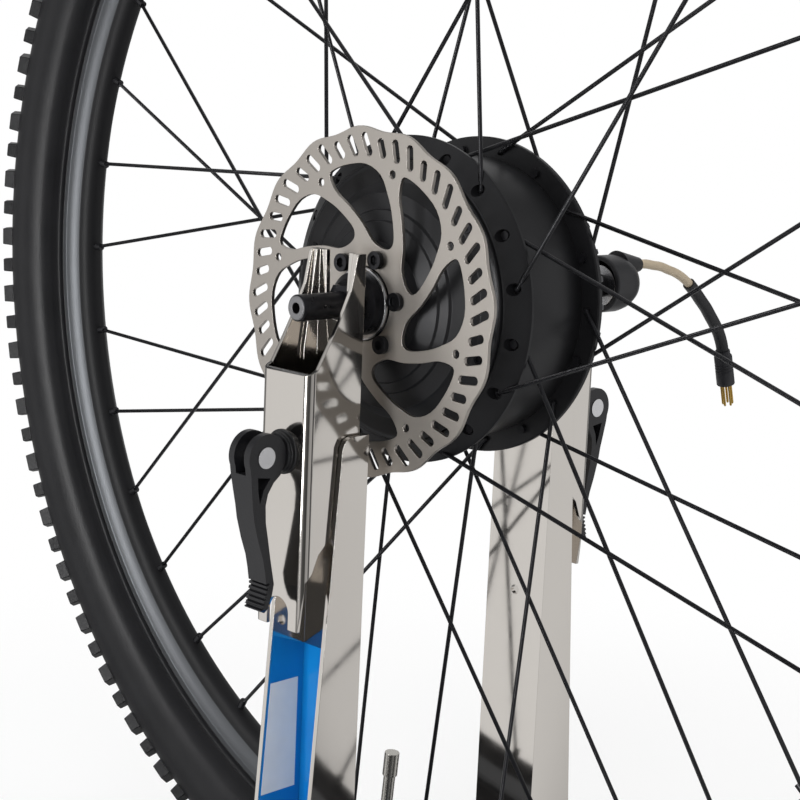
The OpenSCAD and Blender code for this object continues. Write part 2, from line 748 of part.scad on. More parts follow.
module cog(k) {
    teeth = cog_teeth[k];
    pr = chain_p / (2 * sin(180 / teeth));
    open_r = pr - 9;
    color("#5b5b5e") axle_plate(cog_x0 + k * cog_step - cog_t / 2, cog_t) difference() {
        cog_outline(teeth);
        spline(freehub_r, fit_gap);
        if (open_r > freehub_r + 14)
            difference() {
                circle(r = open_r, $fn = 64);
                circle(r = freehub_r + 7, $fn = 64);
                for (i = [0:5]) rotate(i * 60 + 10 * k) translate([0, -5]) square([open_r + 1, 10]);
            }
    }
}

module sprocket_34() { cog(0); }

module sprocket_28() { cog(1); }

module sprocket_24() { cog(2); }

module sprocket_21() { cog(3); }

module sprocket_18() { cog(4); }

module sprocket_15() { cog(5); }

module sprocket_13() { cog(6); }

module sprocket_11() { cog(7); }

module sprocket_spacers() {
    color("#2e2e30") for (k = [0:len(cog_teeth) - 2])
        axle_plate(cog_x0 + k * cog_step + cog_t / 2, cog_step - cog_t) difference() {
            circle(r = freehub_r + 2.4, $fn = 64);
            spline(freehub_r, fit_gap);
        }
}

module lockring() {
    x = cog_end;
    color("#9a9a9d") revolved(64) polygon([
        [sleeve_r + run_gap, x + 0.4], [freehub_r - 0.9, x + 0.4], [freehub_r - 0.9, x], [freehub_r + 1.5, x],
        [freehub_r + 1.5, x + 1], [sleeve_r + 1.5, x + 1.6], [sleeve_r + run_gap, x + 1.6]]);
}

// ---------- uprights, extensions and clamps (drawn on the right) ----------

// How far an upright's flange reaches outwards at height z
function flange_edge(z) = upright_x + upright_d + upright_taper * (upright_top - z);

module upright() {
    face = upright_x + upright_t;
    inner = upright_w / 2 - upright_t;
    difference() {
        translate([0, upright_w / 2, 0]) rotate([90, 0, 0]) linear_extrude(upright_w) polygon([
            [upright_x, upright_foot], [tail_edge - 6, upright_foot], [tail_edge, upright_foot + 6],
            [tail_edge, hinge_h + 8], [flange_edge(hinge_h + 24), hinge_h + 24],
            [flange_edge(upright_top - 5), upright_top - 5], [flange_edge(upright_top) - 1.5, upright_top - 1.4],
            [flange_edge(upright_top) - 5, upright_top], [upright_x, upright_top]]);
        translate([face, -inner, 0]) cube([60, 2 * inner, upright_top + 1]);
        xbar(upright_x - 1, face + 1, skewer_d / 2 + 0.3, 0, skewer_z, 32);
        xbar(upright_x - 1, face + 1, web_hole / 2, 0, screw_h, 32);
        xbar(upright_x - 1, face + 1, peep_hole_d / 2, 0, axle_h - peep_drop, 24);
        ybar(hinge_x, hinge_h, -upright_w, upright_w, hinge_d / 2 + run_gap);
        ybar(hinge_x, screw_h, -upright_w, upright_w, 4 + fit_gap);
    }
}

module left_upright() { color("#c7c7ca") sided(true) upright(); }

module right_upright() { color("#c7c7ca") sided(false) upright(); }

// The side outline of an extension's flanges and outer web, as [x, height over the axle]
function ext_side() = [
    [ext_x, -28], [ext_x - 5, -25.5], [ext_x - 11.4, -14.6], [ext_x - 16.8, -4.9], [ext_x - 23.3, 8.9],
    [ext_x - 26.2, 22.8], [bracket_x + 4.5, prong_h], [bracket_x, prong_h],
    [bracket_x, -upright_drop + 4], [upright_x + upright_t, -upright_drop - 2],
    [upright_x + upright_t, -92], [ext_x - 23.3, -95], [ext_x - 18.6, -99], [ext_x - 13, -105],
    [ext_x - 9, -109], [ext_x - 5.6, -117], [ext_x - ext_t, -121], [ext_x - ext_t, ext_foot], [ext_x, ext_foot]
];

module extension() {
    inner = ext_w / 2 - ext_t;
    bend = 4;
    color("#c7c7ca") translate([0, 0, axle_h]) difference() {
        translate([0, ext_w / 2, 0]) rotate([90, 0, 0]) linear_extrude(ext_w) polygon(ext_side());
        translate([0, -inner, ext_foot - 1]) cube([ext_x - ext_t, 2 * inner, prong_h - ext_foot + 2]);
        for (s = [-1, 1]) {
            translate([ext_x - bend, s * (ext_w / 2 - bend), ext_foot - 1]) difference() {
                translate([0, s < 0 ? -bend - 1 : 0, 0]) cube([bend + 1, bend + 1, -ext_foot]);
                translate([0, 0, -1]) cylinder(h = 2 - ext_foot, r = bend, $fn = 32);
            }
            plate(ext_x - 4, 8) polygon([
                [s * prong_y, ext_foot - 1], [s * ext_w / 2, ext_foot + 23], [s * ext_w, ext_foot + 23],
                [s * ext_w, ext_foot - 1]]);
        }
        translate([ext_x - 4, 0, ext_foot + notch_r]) rotate([0, 90, 0]) cylinder(h = 8, r = notch_r, $fn = 32);
        translate([ext_x - 4, -notch_r, ext_foot - 1]) cube([8, 2 * notch_r, notch_r + 1]);
        translate([ext_x - 4, 0, -skewer_drop]) rotate([0, 90, 0])
            cylinder(h = 8, r = skewer_d / 2 + 0.3, $fn = 32);
    }
}

module left_extension() { sided(true) extension(); }

module right_extension() { sided(false) extension(); }

// The inner channel with the open slot that the axle drops into
module dropout() {
    foot = -upright_drop + 6;
    depth = 10;
    outer = bracket_w / 2;
    color("#b4b4b8") translate([0, 0, axle_h]) difference() {
        translate([bracket_x, -outer, foot]) cube([depth, bracket_w, prong_h - foot]);
        translate([bracket_x + bracket_t, -outer + bracket_t, foot - 1])
            cube([depth, bracket_w - 2 * bracket_t, prong_h - foot + 2]);
        translate([bracket_x - 1, 0, 0]) rotate([0, 90, 0]) cylinder(h = depth + 2, r = slot_r, $fn = 48);
        plate(bracket_x - 1, depth + 2) polygon([
            [-slot_r, 0], [slot_r, 0], [slot_r + slot_mouth, prong_h + 1], [-slot_r - slot_mouth, prong_h + 1]]);
        translate([0, outer + 1, 0]) rotate([90, 0, 0]) linear_extrude(bracket_w + 2) polygon([
            [bracket_x + depth + 1, foot - 1], [bracket_x + depth + 1, prong_h + 1],
            [bracket_x + 4, prong_h + 1], [bracket_x + depth - 2, -6], [bracket_x + depth, -20],
            [bracket_x + depth, foot - 1]]);
    }
}

module left_dropout() { sided(true) dropout(); }

module right_dropout() { sided(false) dropout(); }

// The rod that pulls the extension against the upright
module skewer() {
    color("#a9a9ad") {
        xbar(upright_x - 4, upright_x, 6, 0, skewer_z, 32);
        xbar(upright_x - 1, pin_x - pin_d / 2 + 0.5, skewer_d / 2, 0, skewer_z, 32);
    }
}

module left_skewer() { sided(true) skewer(); }

module right_skewer() { sided(false) skewer(); }

// The ridged collar between the extension and the lever's cam
module cam_washer() {
    end = pin_x - lever_r - cam_shift - seat_gap;
    rib = (end - ext_x) / 5;
    bore = skewer_d / 2 + fit_gap;
    color("#1b1b1d") translate([0, 0, skewer_z]) rotate([0, 90, 0]) rotate_extrude($fn = 48) polygon([
        [bore, ext_x], [10.1, ext_x], [10.1, ext_x + rib], [8.8, ext_x + 1.3 * rib], [8.6, ext_x + 1.8 * rib],
        [9.3, ext_x + 2.1 * rib], [9.3, ext_x + 3 * rib], [8.3, ext_x + 3.3 * rib],
        [8.3, ext_x + 3.8 * rib], [8.9, ext_x + 4.1 * rib], [8.5, end], [bore, end]]);
}

module left_cam_washer() { sided(true) cam_washer(); }

module right_cam_washer() { sided(false) cam_washer(); }

// The barrel pin that the rod screws into and the lever turns on
module lever_pin() {
    color("#d2d2d5") difference() {
        ybar(pin_x, skewer_z, -fork_w / 2 - 0.4, fork_w / 2 + 0.4, pin_d / 2);
        xbar(pin_x - pin_d, pin_x - pin_d / 2 + 0.5, skewer_d / 2, 0, skewer_z, 32);
    }
}

module left_lever_pin() { sided(true) lever_pin(); }

module right_lever_pin() { sided(false) lever_pin(); }

// The lever's side outline below its cam, as [x, z] from the pin
function lever_side() = [
    [-lever_r - cam_shift + 0.6, 0], [-8.3, -8.6], [-4.8, -11.7], [-2, -16.5], [-1.2, -21.5], [-1.6, -29.3],
    [-3.2, -37.3], [-4.9, -46.3], [-7.4, -lever_l + 13], [-6.5, -lever_l + 8], [-3.4, -lever_l],
    [-0.6, -lever_l + 1.2], [-3.3, -lever_l + 11], [-2, -52], [-0.6, -45.7], [2.2, -38], [5, -28.3],
    [7.2, -15.3], [8.6, -6], [lever_r - cam_shift - 0.4, 0]
];

// The window in each side of the lever, under its pin
function lever_window() = [[4.6, -8.4], [-2.6, -9.4], [0.6, -14.4], [2.2, -20.6], [3.6, -15]];

module lever() {
    slot = skewer_d + 1;
    waist = fork_w - 2;
    color("#19191b") translate([pin_x, 0, skewer_z]) difference() {
        union() {
            translate([-cam_shift, fork_w / 2, 0]) rotate([90, 0, 0]) cylinder(h = fork_w, r = lever_r, $fn = 64);
            intersection() {
                translate([0, fork_w / 2, 0]) rotate([90, 0, 0]) linear_extrude(fork_w) polygon(lever_side());
                plate(-2 * lever_r, 4 * lever_r) polygon([
                    [fork_w / 2, 0], [fork_w / 2, -8], [waist / 2, -22], [waist / 2, -lever_l + 2],
                    [waist / 2 - 2, -lever_l - 1], [2 - waist / 2, -lever_l - 1],
                    [-waist / 2, -lever_l + 2], [-waist / 2, -22], [-fork_w / 2, -8], [-fork_w / 2, 0]]);
            }
        }
        translate([0, fork_w, 0]) rotate([90, 0, 0]) cylinder(h = 2 * fork_w, r = pin_d / 2 + run_gap, $fn = 48);
        translate([0, fork_w, 0]) rotate([90, 0, 0]) linear_extrude(2 * fork_w) polygon(lever_window());
        translate([-2 * lever_r, -slot / 2, -slot / 2]) cube([2 * lever_r + slot / 2, slot, 2 * lever_r]);
        for (i = [0:4])
            translate([-1.6 - 0.15 * i, -fork_w, -lever_l + 3 + 2.4 * i]) rotate([0, -14, 0])
                cube([4, 2 * fork_w, 0.8]);
    }
}

module left_lever() { sided(true) lever(); }

module right_lever() { sided(false) lever(); }

// ---------- base and width screw ----------

module base_tray() {
    slot_x0 = upright_x - 6;
    slot_x1 = tail_edge + 8;
    ear_y = upright_w / 2 + hinge_gap;
    block_x = base_l / 2 - 12;
    color("#3d4f63") {
        difference() {
            translate([-base_l / 2, 0, 0]) plate(0, base_l) polygon([
                [-base_w / 2, foot_h], [-base_w / 2 + base_t, foot_h],
                [-base_w / 2 + base_t, base_h - base_t], [base_w / 2 - base_t, base_h - base_t],
                [base_w / 2 - base_t, foot_h], [base_w / 2, foot_h], [base_w / 2, base_h],
                [-base_w / 2, base_h]]);
            for (s = [-1, 1])
                translate([s > 0 ? slot_x0 : -slot_x1, -ear_y, base_h - 2 * base_t])
                    cube([slot_x1 - slot_x0, 2 * ear_y, 3 * base_t]);
        }
        for (s = [-1, 1], t = [-1, 1]) {
            y0 = t > 0 ? ear_y : -ear_y - base_t;
            difference() {
                translate([s * hinge_x, y0 + base_t, 0]) rotate([90, 0, 0]) linear_extrude(base_t) union() {
                    translate([-ear_x, base_h - base_t]) square([2 * ear_x, hinge_h - base_h + base_t]);
                    translate([0, hinge_h]) circle(r = ear_x, $fn = 64);
                }
                ybar(s * hinge_x, hinge_h, -base_w / 2, base_w / 2, hinge_d / 2 + run_gap);
            }
        }
        // Bearing blocks for the screw, hung under the top plate
        for (s = [-1, 1])
            difference() {
                translate([s * block_x - 4, -12, screw_h - 10])
                    cube([8, 24, base_h - base_t - screw_h + 10]);
                xbar(s * block_x - 5, s * block_x + 5, screw_d / 2 + run_gap, 0, screw_h, 32);
            }
    }
}

// Strips along the front and the back that bolt the base to a bench
module base_rails() {
    color("#3d4f63") for (t = [-1, 1]) difference() {
        translate([-base_l / 2, t > 0 ? base_w / 2 : -base_w / 2 - base_lip, foot_h])
            cube([base_l, base_lip, base_t]);
        for (s = [-1, 1])
            translate([s * (base_l / 2 - 15), t * (base_w / 2 + base_lip / 2), 0])
                cylinder(h = base_h, r = bench_hole_d / 2, $fn = 32);
    }
}

module base_feet() {
    color("#1c1c1c") for (s = [-1, 1], t = [-1, 1])
        translate([s * (base_l / 2 - 48), t * (base_w / 2 + base_lip / 2), 0])
            cylinder(h = foot_h, r = 12, $fn = 48);
}

module hinge_pins() {
    reach = upright_w / 2 + hinge_gap + base_t;
    color("#b0b0b4") for (s = [-1, 1]) {
        ybar(s * hinge_x, hinge_h, -reach - 1.5, reach + 1.5, hinge_d / 2);
        ybar(s * hinge_x, hinge_h, reach, reach + 2.5, hinge_d / 2 + 2.5);
        ybar(s * hinge_x, hinge_h, -reach - 2.5, -reach, hinge_d / 2 + 2.5);
    }
}

module width_screw() {
    end = base_l / 2;
    reach = end + knob_gap + knob_t;
    color("#a8a8ac") {
        xbar(-reach + 1, end + 12, screw_d / 2, 0, screw_h, 48);
        translate([0, 0, screw_h]) plate(-reach, knob_t / 2) circle(r = screw_d / 2 + 3, $fn = 6);
        for (s = [-1, 1]) {
            x = s * (end - 12) + s * 4.3;
            xbar(min(x, x + s * 3), max(x, x + s * 3), screw_d / 2 + 3, 0, screw_h, 32);
        }
    }
}

module screw_knob() {
    x0 = base_l / 2 + knob_gap;
    lobes = 6;
    color("#1b1b1d") difference() {
        translate([0, 0, screw_h]) plate(x0, knob_t) difference() {
            circle(r = 16, $fn = 64);
            for (i = [0:lobes - 1]) rotate(i * 360 / lobes) translate([19.5, 0]) circle(r = 6, $fn = 32);
        }
        xbar(x0 - 1, base_l / 2 + 12, screw_d / 2, 0, screw_h, 48);
    }
}

// The barrel nut that joins an upright's tail to the width screw
module screw_nut() {
    inner = upright_w / 2 - upright_t;
    color("#c9a35a") difference() {
        union() {
            ybar(hinge_x, screw_h, -inner + 0.2, inner - 0.2, nut_d / 2);
            ybar(hinge_x, screw_h, -upright_w / 2, upright_w / 2, 4);
        }
        xbar(hinge_x - nut_d, hinge_x + nut_d, screw_d / 2 + 0.8, 0, screw_h, 32);
    }
}

module left_screw_nut() { sided(true) screw_nut(); }

module right_screw_nut() { sided(false) screw_nut(); }

// ---------- motor cable ----------

module cable_boot() {
    c = cable_route[0];
    dome_z = axle_h + 1;
    length = c[0] - boot_x;
    collar = 16;
    color("#1f1f21") difference() {
        union() {
            translate([boot_x, 0, dome_z]) rotate([0, 90, 0]) rotate_extrude($fn = 64) polygon([
                [0, 0], [boot_r - 0.6, 0], [boot_r, 1], [boot_r, 12], [boot_r - 1, 17], [boot_r - 3.2, 21.5],
                [boot_r - 6.4, 25], [boot_r - 9.6, 27.4], [0, 28.2]]);
            translate([boot_x + collar, 0, c[2]]) rotate([0, 90, 0])
                cylinder(h = length - collar, r1 = 8, r2 = cable_d / 2 + 1.4, $fn = 48);
        }
        translate([boot_x - 1, 0, dome_z]) rotate([0, 90, 0])
            cylinder(h = axle_right - boot_x + 1, r = boot_r - 2.4, $fn = 64);
    }
}

module motor_cable() { color("#b9a892") swept(cable_route, cable_d / 2, 10); }

module cable_sleeve() {
    part = [for (i = [sleeve_from:len(cable_route) - 1]) cable_route[i]];
    color("#26262a") swept(part, sleeve_d / 2, 10);
}

// Frame of the connector: it carries on in the cable's last direction
plug_from = cable_route[len(cable_route) - 1];
plug_dir = unit(plug_from - cable_route[len(cable_route) - 2]);

module connector_shell() {
    a = plug_from;
    b = a + plug_l * plug_dir;
    color("#2a2a2d") difference() {
        union() {
            rod(a - plug_neck_l * plug_dir, a + 0.1 * plug_dir, sleeve_d / 2 + 0.9, 32);
            rod(a, b, plug_d / 2, 32);
        }
        rod(a - (plug_neck_l + 1) * plug_dir, a, sleeve_d / 2 + fit_gap, 32);
        rod(b - plug_neck_l * plug_dir, b + plug_dir, plug_d / 2 - 1, 32);
    }
}

module connector_pins() {
    a = plug_from + (plug_l - plug_neck_l) * plug_dir;
    across = [-plug_dir[2], 0, plug_dir[0]];
    color("#d8b25a") for (i = [0:4]) {
        c = a + contact_r * (cos(72 * i) * across + sin(72 * i) * [0, 1, 0]);
        rod(c, c + (plug_neck_l + contact_l) * plug_dir, contact_d / 2, 24);
    }
}

base_tray();
base_rails();
base_feet();
hinge_pins();
axle();
axle_locknuts();
axle_washers();
stator();
axle_nut();
cable_boot();
motor_cable();
cable_sleeve();
connector_shell();
connector_pins();
width_screw();
screw_knob();
left_upright();
right_upright();
left_extension();
right_extension();
left_dropout();
right_dropout();
left_skewer();
right_skewer();
left_cam_washer();
right_cam_washer();
left_lever_pin();
right_lever_pin();
left_screw_nut();
right_screw_nut();
left_lever();
right_lever();
tyre();
inner_tube();
rim_tape();
rim();
valve();
left_spokes();
right_spokes();
nipples();
hub_shell();
disc_cover();
drive_cover();
cover_screws();
magnet_ring();
hub_bearings();
brake_rotor();
rotor_bolts();
freehub_body();
sprocket_34();
sprocket_28();
sprocket_24();
sprocket_21();
sprocket_18();
sprocket_15();
sprocket_13();
sprocket_11();
sprocket_spacers();
lockring();
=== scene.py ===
import math

import bpy
import bmesh
from mathutils import Matrix, Vector


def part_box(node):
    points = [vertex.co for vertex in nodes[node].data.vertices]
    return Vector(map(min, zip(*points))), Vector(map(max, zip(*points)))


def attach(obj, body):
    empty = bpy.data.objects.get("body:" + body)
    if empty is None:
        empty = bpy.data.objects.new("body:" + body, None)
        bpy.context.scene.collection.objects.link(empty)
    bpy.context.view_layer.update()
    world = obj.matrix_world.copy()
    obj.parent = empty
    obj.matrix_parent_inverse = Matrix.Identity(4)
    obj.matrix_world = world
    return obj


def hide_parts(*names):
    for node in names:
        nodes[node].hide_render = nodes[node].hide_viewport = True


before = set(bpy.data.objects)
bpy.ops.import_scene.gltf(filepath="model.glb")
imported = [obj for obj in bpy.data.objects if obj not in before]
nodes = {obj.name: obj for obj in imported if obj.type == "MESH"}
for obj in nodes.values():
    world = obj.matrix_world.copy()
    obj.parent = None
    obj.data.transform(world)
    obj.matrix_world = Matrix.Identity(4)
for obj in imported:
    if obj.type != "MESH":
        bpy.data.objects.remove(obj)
scene = bpy.context.scene
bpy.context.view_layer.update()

# ---------- camera ----------
# A portrait lens on a tripod at the front left of the bench, just above the top of the hub.
# It looks about ten degrees down and is rolled by two and a half degrees.
lens_mm, film_wide_mm = 78.8, 36
nearest, furthest = 0.02, 30
stand_point = Vector((-0.6042, -0.5684, 0.4947))
turn, pitch, roll = (math.radians(angle) for angle in (-45.47, -9.93, 2.52))
camera = bpy.data.objects.new("camera", bpy.data.cameras.new("camera"))
scene.collection.objects.link(camera)
scene.camera = camera
camera.data.sensor_width = film_wide_mm
camera.data.lens = lens_mm
camera.data.clip_start = nearest
camera.data.clip_end = furthest
look = Vector((-math.cos(pitch) * math.sin(turn), math.cos(pitch) * math.cos(turn), math.sin(pitch)))
side = look.cross(Vector((0, 0, 1))).normalized()
upward = side.cross(look)
across = math.cos(roll) * side + math.sin(roll) * upward
rise = math.cos(roll) * upward - math.sin(roll) * side
placing = Matrix((across, rise, -look)).transposed().to_4x4()
placing.translation = stand_point
camera.matrix_world = placing

# ---------- motor cable ----------
# A beige jacketed cable that leaves the boot, with a black sleeve over its outer half and a
# round connector moulded on its end. The cable droops under the connector's own weight.
cable_exit = (150, 0, 410)
cable_path = [
    (0, 0, 0), (7, 0, 0), (14, 0, -1), (21, 0, -2), (28, 0, -4), (35, 0, -6), (42, 0, -9), (48, 0, -12.5),
    (54, 0, -17), (60, 0, -22), (66, 0, -27), (71, 0, -32), (75.5, 0, -36.5), (79.5, 0, -41),
    (82.5, 0, -45.5), (85, 0, -50.5), (86.5, 0, -55.5)]
jacket_r, sleeve_r, sleeve_start = 2.5, 3.5, 7
contact_count, contact_circle_r = 5, 2.8
weld_within = 1e-6


def at(x, y, z):
    """A point in metres from millimetres."""
    return Vector((x, y, z)) * 0.001


def colour(hexed):
    """A linear colour from an sRGB hex code."""
    parts = [int(hexed[i:i + 2], 16) / 255 for i in (1, 3, 5)]
    return tuple(p / 12.92 if p <= 0.04045 else ((p + 0.055) / 1.055) ** 2.4 for p in parts) + (1.0,)


def add(tree, kind, sockets=None, **settings):
    """Adds one shader node, sets its settings and links or sets its sockets."""
    node = tree.nodes.new(kind)
    for key, value in settings.items():
        setattr(node, key, value)
    for key, value in (sockets or {}).items():
        if isinstance(value, bpy.types.Node):
            value = value.outputs[0]
        if isinstance(value, bpy.types.NodeSocket):
            tree.links.new(value, node.inputs[key])
        else:
            node.inputs[key].default_value = value
    return node


def finish(name):
    """A new material, its node tree and its object coordinates."""
    made = bpy.data.materials.new(name)
    made.use_nodes = True
    made.node_tree.nodes.clear()
    place = add(made.node_tree, "ShaderNodeTexCoord")
    return made, made.node_tree, place.outputs["Object"]


def wear(material, *names):
    """Puts a material on CAD nodes."""
    for name in names:
        nodes[name].data.materials.clear()
        nodes[name].data.materials.append(material)


def put(piece, body, material, slot=None, *names):
    """Gives a finished piece its material and body, and the CAD nodes that it stands for. The slot is not
    used.
    """
    piece.data.materials.clear()
    piece.data.materials.append(material)
    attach(piece, body)
    if names:
        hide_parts(*names)
        wear(material, *names)


def only(piece):
    """Makes one object the selected and active one."""
    bpy.ops.object.select_all(action="DESELECT")
    piece.select_set(True)
    bpy.context.view_layer.objects.active = piece


def turned(name, outline, sides, centre, axis="X"):
    """A closed section of (radius, height) points in millimetres, spun about an axis through centre."""
    bpy.ops.mesh.primitive_circle_add(vertices=len(outline), radius=1)
    piece = bpy.context.object
    piece.name = piece.data.name = name
    for vertex, (r, h) in zip(piece.data.vertices, outline):
        vertex.co = at(h, 0, r) if axis == "X" else at(r, 0, h)
    bpy.ops.object.mode_set(mode="EDIT")
    bpy.ops.mesh.select_all(action="SELECT")
    way = (1, 0, 0) if axis == "X" else (0, 0, 1)
    bpy.ops.mesh.spin(steps=sides, angle=math.tau, center=(0, 0, 0), axis=way)
    bpy.ops.mesh.select_all(action="SELECT")
    bpy.ops.mesh.remove_doubles(threshold=weld_within)
    bpy.ops.mesh.normals_make_consistent(inside=False)
    bpy.ops.object.mode_set(mode="OBJECT")
    piece.data.transform(Matrix.Translation(centre))
    return piece


def soften(piece, edge, angle=32, steps=2):
    """Rounds the sharp edges of a piece and shades it smooth, with its flats kept flat."""
    only(piece)
    if edge:
        round_off = piece.modifiers.new("edges", "BEVEL")
        round_off.width = edge * 0.001
        round_off.segments = steps
        round_off.limit_method = "ANGLE"
        round_off.angle_limit = math.radians(angle)
        round_off.use_clamp_overlap = True
        bpy.ops.object.modifier_apply(modifier=round_off.name)
    bpy.ops.object.shade_smooth_by_angle(angle=math.radians(angle))
    if edge:
        flats = piece.modifiers.new("flats", "WEIGHTED_NORMAL")
        flats.keep_sharp = True
        flats.weight = 100
        bpy.ops.object.modifier_apply(modifier=flats.name)
    return piece


jacket, tree, where = finish("extruded_pvc_jacket")
# Soft PVC: a faint waviness from extrusion, a satin sheen and a little grime on the beige
wave = add(tree, "ShaderNodeTexNoise", {"Vector": where, "Scale": 1000 / 6, "Detail": 3})
tone = add(tree, "ShaderNodeMix", {0: wave, 6: colour("#a8987f"), 7: colour("#c6b7a0")}, data_type="RGBA")
grain = add(tree, "ShaderNodeTexNoise", {"Vector": where, "Scale": 1000 / 0.5, "Detail": 2})
relief = add(tree, "ShaderNodeBump", {"Height": grain, "Strength": 0.12, "Distance": 0.0002})
shader = add(tree, "ShaderNodeBsdfPrincipled", {
    "Base Color": tone.outputs[2], "Roughness": 0.42, "Normal": relief})
add(tree, "ShaderNodeOutputMaterial", {"Surface": shader})

sleeving, tree, where = finish("heat_shrink_sleeve")
# Heat-shrunk polyolefin: near black, slightly wrinkled along its length, semi-matte
wrinkle = add(tree, "ShaderNodeTexNoise", {"Vector": where, "Scale": 1000 / 2.5, "Detail": 4})
relief = add(tree, "ShaderNodeBump", {"Height": wrinkle, "Strength": 0.35, "Distance": 0.0003})
sheen = add(tree, "ShaderNodeMapRange", {"Value": wrinkle, "To Min": 0.38, "To Max": 0.55})
shader = add(tree, "ShaderNodeBsdfPrincipled", {
    "Base Color": colour("#1d1d20"), "Roughness": sheen, "Normal": relief})
add(tree, "ShaderNodeOutputMaterial", {"Surface": shader})

moulding, tree, where = finish("moulded_nylon_plug")
# Moulded nylon: an even satin black with the fine grain of a spark-eroded mould
grain = add(tree, "ShaderNodeTexNoise", {"Vector": where, "Scale": 1000 / 0.25, "Detail": 2})
relief = add(tree, "ShaderNodeBump", {"Height": grain, "Strength": 0.15, "Distance": 0.0001})
sheen = add(tree, "ShaderNodeMapRange", {"Value": grain, "To Min": 0.34, "To Max": 0.48})
shader = add(tree, "ShaderNodeBsdfPrincipled", {
    "Base Color": colour("#222226"), "Roughness": sheen, "Normal": relief})
add(tree, "ShaderNodeOutputMaterial", {"Surface": shader})

plating, tree, where = finish("gold_plated_brass")
# Gold flash on turned brass: warm, shiny, with faint drawing marks
mark = add(tree, "ShaderNodeTexNoise", {"Vector": where, "Scale": 1000 / 0.8, "Detail": 2})
sheen = add(tree, "ShaderNodeMapRange", {"Value": mark, "To Min": 0.18, "To Max": 0.34})
shader = add(tree, "ShaderNodeBsdfPrincipled", {
    "Base Color": colour("#d9b35c"), "Metallic": 1.0, "Roughness": sheen})
add(tree, "ShaderNodeOutputMaterial", {"Surface": shader})

route = [at(*(e + s for e, s in zip(cable_exit, step))) for step in cable_path]


def line_along(name, points, radius):
    """A round cord with closed ends, drawn as a smooth curve through points."""
    data = bpy.data.curves.new(name, "CURVE")
    data.dimensions = "3D"
    data.bevel_depth = radius * 0.001
    data.bevel_resolution = 6
    data.resolution_u = 6
    data.use_fill_caps = True
    run = data.splines.new("BEZIER")
    run.bezier_points.add(len(points) - 1)
    for knot, point in zip(run.bezier_points, points):
        knot.co = point
        knot.handle_left_type = knot.handle_right_type = "AUTO"
    piece = bpy.data.objects.new(name, data)
    scene.collection.objects.link(piece)
    return piece


cable = line_along("cable_line", route, jacket_r)
put(cable, "base", jacket, "cable_jacket", "motor_cable")

sleeve = line_along("cable_sleeve_tube", route[sleeve_start:], sleeve_r)
put(sleeve, "base", sleeving, "sleeve_plastic", "cable_sleeve")

plug_way = (route[-1] - route[-2]).normalized()
tilt = Vector((0, 0, 1)).rotation_difference(plug_way).to_matrix().to_4x4()
plug_neck = [(3.6, -3), (4.1, -3), (4.3, -2.6), (4.3, -0.4), (4.7, 0), (5.0, 0.3), (5.2, 0.8)]
plug_grooves = [(r, z + up) for z in (4.6, 6.4, 8.2)
                for r, up in ((5.2, 0), (4.9, 0.2), (4.9, 0.8), (5.2, 1))]
plug_mouth = [(5.2, 17.6), (5.0, 18), (4.4, 18), (4.2, 17.8), (4.2, 15), (0.01, 15), (0.01, 0), (3.6, 0)]
plug = turned("connector_body", plug_neck + plug_grooves + plug_mouth, 48, Vector(), "Z")
plug.data.transform(Matrix.Translation(route[-1]) @ tilt)
soften(plug, 0)
put(plug, "base", moulding, "plug_plastic", "connector_shell")

contact_side = [(0.01, 15), (0.7, 15), (0.7, 30.2), (0.55, 30.7), (0.3, 31), (0.01, 31)]
contact_ring = []
for number in range(contact_count):
    turned_by = math.radians(360 / contact_count * number)
    contact = turned("contact", contact_side, 16, Vector(), "Z")
    contact.data.transform(Matrix.Translation(at(
        contact_circle_r * math.cos(turned_by), contact_circle_r * math.sin(turned_by), 0)))
    contact_ring.append(contact)
only(contact_ring[0])
for contact in contact_ring:
    contact.select_set(True)
bpy.ops.object.join()
contacts = bpy.context.object
contacts.name = "connector_contacts"
contacts.data.transform(Matrix.Translation(route[-1]) @ tilt)
soften(contacts, 0)
put(contacts, "base", plating, "pin_brass", "connector_pins")

# ---------- floor and light ----------
# A white bench top that fades into a white sweep, so that the object stands on its own shadow.
# Four large soft boxes stand round and over it, with a tall panel at the left that draws the
# long highlights. The sweep's dark gaps show up in the chrome.
floor_r, fade_start, fade_end = 1.3, 0.45, 0.95
plain_white = (1, 1, 1, 1)
# How bright the sweep is, going once round the object: share of the way round, level
sweep_levels = [
    (0.0, 0.55), (0.03, 0.50), (0.06, 0.10), (0.14, 0.05), (0.19, 0.34), (0.26, 0.42), (0.295, 0.08),
    (0.325, 0.26), (0.35, 0.64), (0.40, 0.72), (0.44, 0.20), (0.50, 0.16), (0.56, 0.60), (0.64, 0.70),
    (0.70, 0.34), (0.77, 0.16), (0.83, 0.24), (0.86, 0.78), (0.89, 0.82), (0.92, 0.26), (0.965, 0.08),
    (0.985, 0.50)]


def levels_round(tree, direction):
    """How bright the sweep is in each direction round the object, as metal mirrors it."""
    round_about = add(tree, "ShaderNodeTexGradient", {"Vector": direction}, gradient_type="RADIAL")
    levels = add(tree, "ShaderNodeValToRGB", {"Fac": round_about})
    ramp = levels.color_ramp
    while len(ramp.elements) < len(sweep_levels):
        ramp.elements.new(0.5)
    places, brightness = zip(*sweep_levels)
    for element, place in zip(ramp.elements, places):
        element.position = place
    for element, level in zip(ramp.elements, brightness):
        element.color = (level, level, level, 1)
    return levels


bpy.ops.mesh.primitive_circle_add(vertices=96, radius=floor_r, fill_type="NGON")
floor = bpy.context.object
floor.name = "bench_top"
paint, tree, where = finish("white_sweep")
